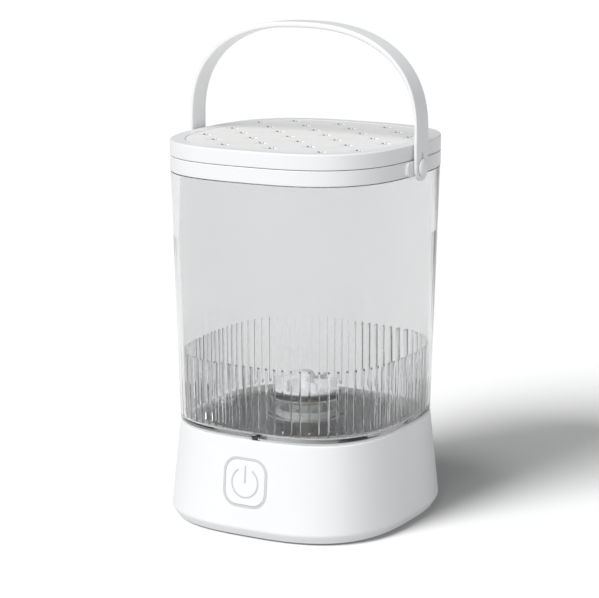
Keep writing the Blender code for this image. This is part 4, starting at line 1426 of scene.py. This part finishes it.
@dataclass
class BailHandle:
    """Bail handle: rounded feet on the hinge line, straight legs and a superellipse arch."""

    shop: Workshop
    pivot_z: float = 188.0
    leg_top: float = 205.0
    half_width: float = 6.7
    arch_power: float = 2.4
    outer: tuple[float, float] = (67.0, 53.7)
    inner: tuple[float, float] = (65.3, 50.7)
    hole: float = 2.5
    slot_width: float = 2.0
    slot_top: float = 7.6

    def build(self) -> None:
        """Sweep the strap and cut its keyholes."""
        strap = object_of(self.strap(), "strap")
        for side in (-1, 1):
            eye = turned([(self.hole, 60.0, 0.0), (self.hole, 72.0, 0.0)], 32)
            keyhole = object_of(turn_shape(eye, moved(0, 0, self.pivot_z) @ facing("Y", 90 * side)),
                                "keyhole")
            slot = prism(rounded_square(12.0, self.slot_width, 0.3, 3), self.pivot_z + 1.0,
                         self.pivot_z + self.slot_top)
            carve(keyhole, turn_shape(slot, moved(66.0 * side, 0, 0)), "UNION")
            tool = bmesh.new()
            tool.from_mesh(keyhole.data)
            bpy.data.objects.remove(keyhole)
            carve(strap, tool)
        self.shop.finish(strap, "handle_fine", "handle", self.shop.palette.white, "white_plastic",
                         ["handle"], sharp=38.0)

    def stations(self) -> list[tuple[Vector, Vector, float]]:
        """Outer point, inner point and half width at each station, left foot to right foot."""
        foot: list[tuple[Vector, Vector, float]] = []
        steps = 12
        for step in range(1, steps + 1):
            angle = math.pi / 2.0 * step / steps
            z = self.pivot_z - self.half_width * math.cos(angle)
            foot.append((Vector((self.outer[0], z)), Vector((self.inner[0], z)),
                         self.half_width * math.sin(angle)))
        for share in (0.25, 0.5, 0.75, 1.0):
            z = self.pivot_z + share * (self.leg_top - self.pivot_z)
            foot.append((Vector((self.outer[0], z)), Vector((self.inner[0], z)), self.half_width))
        arch: list[tuple[Vector, Vector, float]] = []
        turns = 64
        for step in range(1, turns):
            angle = math.pi * step / turns
            across = math.copysign(abs(math.cos(angle)) ** (2.0 / self.arch_power), math.cos(angle))
            rise = math.sin(angle) ** (2.0 / self.arch_power)
            arch.append((Vector((self.outer[0] * across, self.leg_top + self.outer[1] * rise)),
                         Vector((self.inner[0] * across, self.leg_top + self.inner[1] * rise)),
                         self.half_width))
        mirrored = [(Vector((-o.x, o.y)), Vector((-i.x, i.y)), w) for o, i, w in reversed(foot)]
        return foot + arch + mirrored

    def section(self, outer: Vector, inner: Vector, half: float) -> list[Vector]:
        """Closed section of the strap at a station: flat faces and rounded edges."""
        middle = (outer + inner) / 2.0
        span = (outer - inner)
        thick = span.length / 2.0
        direction = span.normalized()
        ease = min(thick * 0.75, half * 0.6)
        points = []
        steps = 4
        for quarter in range(4):
            sign_y = 1 if quarter in (0, 3) else -1
            sign_t = 1 if quarter in (0, 1) else -1
            for step in range(steps + 1):
                angle = math.pi / 2.0 * (quarter + step / steps)
                y = sign_y * (half - ease) + ease * math.cos(angle)
                t = sign_t * (thick - ease) + ease * math.sin(angle)
                spot = middle + direction * t
                points.append(Vector((spot.x, y, spot.y)) * MM)
        return points

    def strap(self) -> bmesh.types.BMesh:
        """Join the stations into one closed strap."""
        shape = bmesh.new()
        tag = shape.verts.layers.int.new("order")
        sections = [self.section(*station) for station in self.stations()]
        made = bmesh.ops.create_circle(shape, segments=len(sections[0]), radius=1.0, cap_ends=True)
        for order, (vertex, spot) in enumerate(zip(made["verts"], sections[0])):
            vertex.co = spot
            vertex[tag] = order
        edges = list(shape.edges)
        for section in sections[1:]:
            grown = bmesh.ops.extrude_edge_only(shape, edges=edges)["geom"]
            fresh = [item for item in grown if isinstance(item, bmesh.types.BMVert)]
            fresh_set = set(fresh)
            edges = [item for item in grown if isinstance(item, bmesh.types.BMEdge)
                     and item.verts[0] in fresh_set and item.verts[1] in fresh_set]
            for vertex in fresh:
                vertex.co = section[vertex[tag]]
        bmesh.ops.contextual_create(shape, geom=edges)
        bmesh.ops.recalc_face_normals(shape, faces=shape.faces)
        return shape


# ------------------------------------------------------------------ studio

@dataclass
class Studio:
    """Pale floor, soft light and the camera."""

    camera_place: Point = (553.7, -986.1, 353.6)
    aim: Point = (0.0, 0.0, 100.0)
    lens: float = 132.1
    shift: tuple[float, float] = (-0.0118, 0.0412)
    floor_colour: Colour = (0.4, 0.4, 0.4)
    floor_half_metres: float = 20.0
    surround_colour: Colour = (0.97, 0.985, 1.0)
    surround_strength: float = 0.39
    clear_passes: int = 16
    all_passes: int = 18

    def build(self) -> None:
        """Set up the floor, lights, world and camera."""
        floor = self.floor()
        self.world()
        self.sun("key_sun", azimuth=-15.0, elevation=50.0, strength=2.35, spread=44.0)
        self.sun("fill_sun", azimuth=40.0, elevation=4.0, strength=0.55, spread=60.0)
        self.sun("bounce_sun", azimuth=-12.0, elevation=-52.0, strength=0.6, spread=90.0)
        sweep = self.sun("floor_sun", azimuth=-19.0, elevation=39.0, strength=7.8, spread=24.0)
        lit = bpy.data.collections.new("floor_only")
        lit.objects.link(floor)
        sweep.light_linking.receiver_collection = lit
        self.camera()
        bpy.context.scene.view_settings.view_transform = "Standard"
        bpy.context.scene.cycles.transmission_bounces = self.clear_passes
        bpy.context.scene.cycles.max_bounces = self.all_passes

    def floor(self) -> bpy.types.Object:
        """A wide sheet under the object, which throws no light back onto it."""
        shape = bmesh.new()
        bmesh.ops.create_grid(shape, x_segments=4, y_segments=4, size=self.floor_half_metres)
        made = object_of(shape, "studio_floor")
        made.data.materials.append(PaleFloor("studio_paper", self.floor_colour).material())
        made.visible_diffuse = False
        made.visible_shadow = False
        return made

    def world(self) -> None:
        """Even, slightly cool surround."""
        world = bpy.data.worlds.new("surround")
        world.use_nodes = True
        background = world.node_tree.nodes["Background"]
        background.inputs["Color"].default_value = (*self.surround_colour, 1.0)
        background.inputs["Strength"].default_value = self.surround_strength
        bpy.context.scene.world = world

    def sun(self, name: str, azimuth: float, elevation: float, strength: float,
            spread: float) -> bpy.types.Object:
        """A distant soft light.

        Args:
            name: The light's name.
            azimuth: Side that it comes from; 0 is from the front and positive is from the right.
            elevation: Height above the horizon in degrees.
            strength: Power on a square metre.
            spread: Its apparent size in degrees.

        Returns:
            The light.
        """
        light = bpy.data.lights.new(name, "SUN")
        light.energy = strength
        light.angle = math.radians(spread)
        made = bpy.data.objects.new(name, light)
        turn, rise = math.radians(azimuth), math.radians(elevation)
        source = Vector((math.sin(turn) * math.cos(rise), -math.cos(turn) * math.cos(rise),
                         math.sin(rise)))
        made.rotation_euler = source.to_track_quat("Z", "Y").to_euler()
        bpy.context.scene.collection.objects.link(made)
        return made

    def camera(self) -> None:
        """The camera at the viewing angle."""
        lens = bpy.data.cameras.new("camera")
        lens.lens = self.lens
        lens.shift_x, lens.shift_y = self.shift
        lens.clip_start, lens.clip_end = 0.05, 60.0
        made = bpy.data.objects.new("camera", lens)
        made.location = Vector(self.camera_place) * MM
        back = Vector(self.camera_place) - Vector(self.aim)
        made.rotation_euler = back.to_track_quat("Z", "Y").to_euler()
        bpy.context.scene.collection.objects.link(made)
        bpy.context.scene.camera = made


def main() -> None:
    """Build every piece and the studio."""
    logging.basicConfig(level=logging.INFO, format="%(name)s: %(message)s")
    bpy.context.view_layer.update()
    shop = Workshop(Palette())
    base = Base(shop)
    base.build()
    PowerButton(shop, base).build()
    Drive(shop).build()
    Tank(shop, base).build()
    Lid(shop).build()
    BailHandle(shop).build()
    Studio().build()


if __name__ == "__main__":
    main()
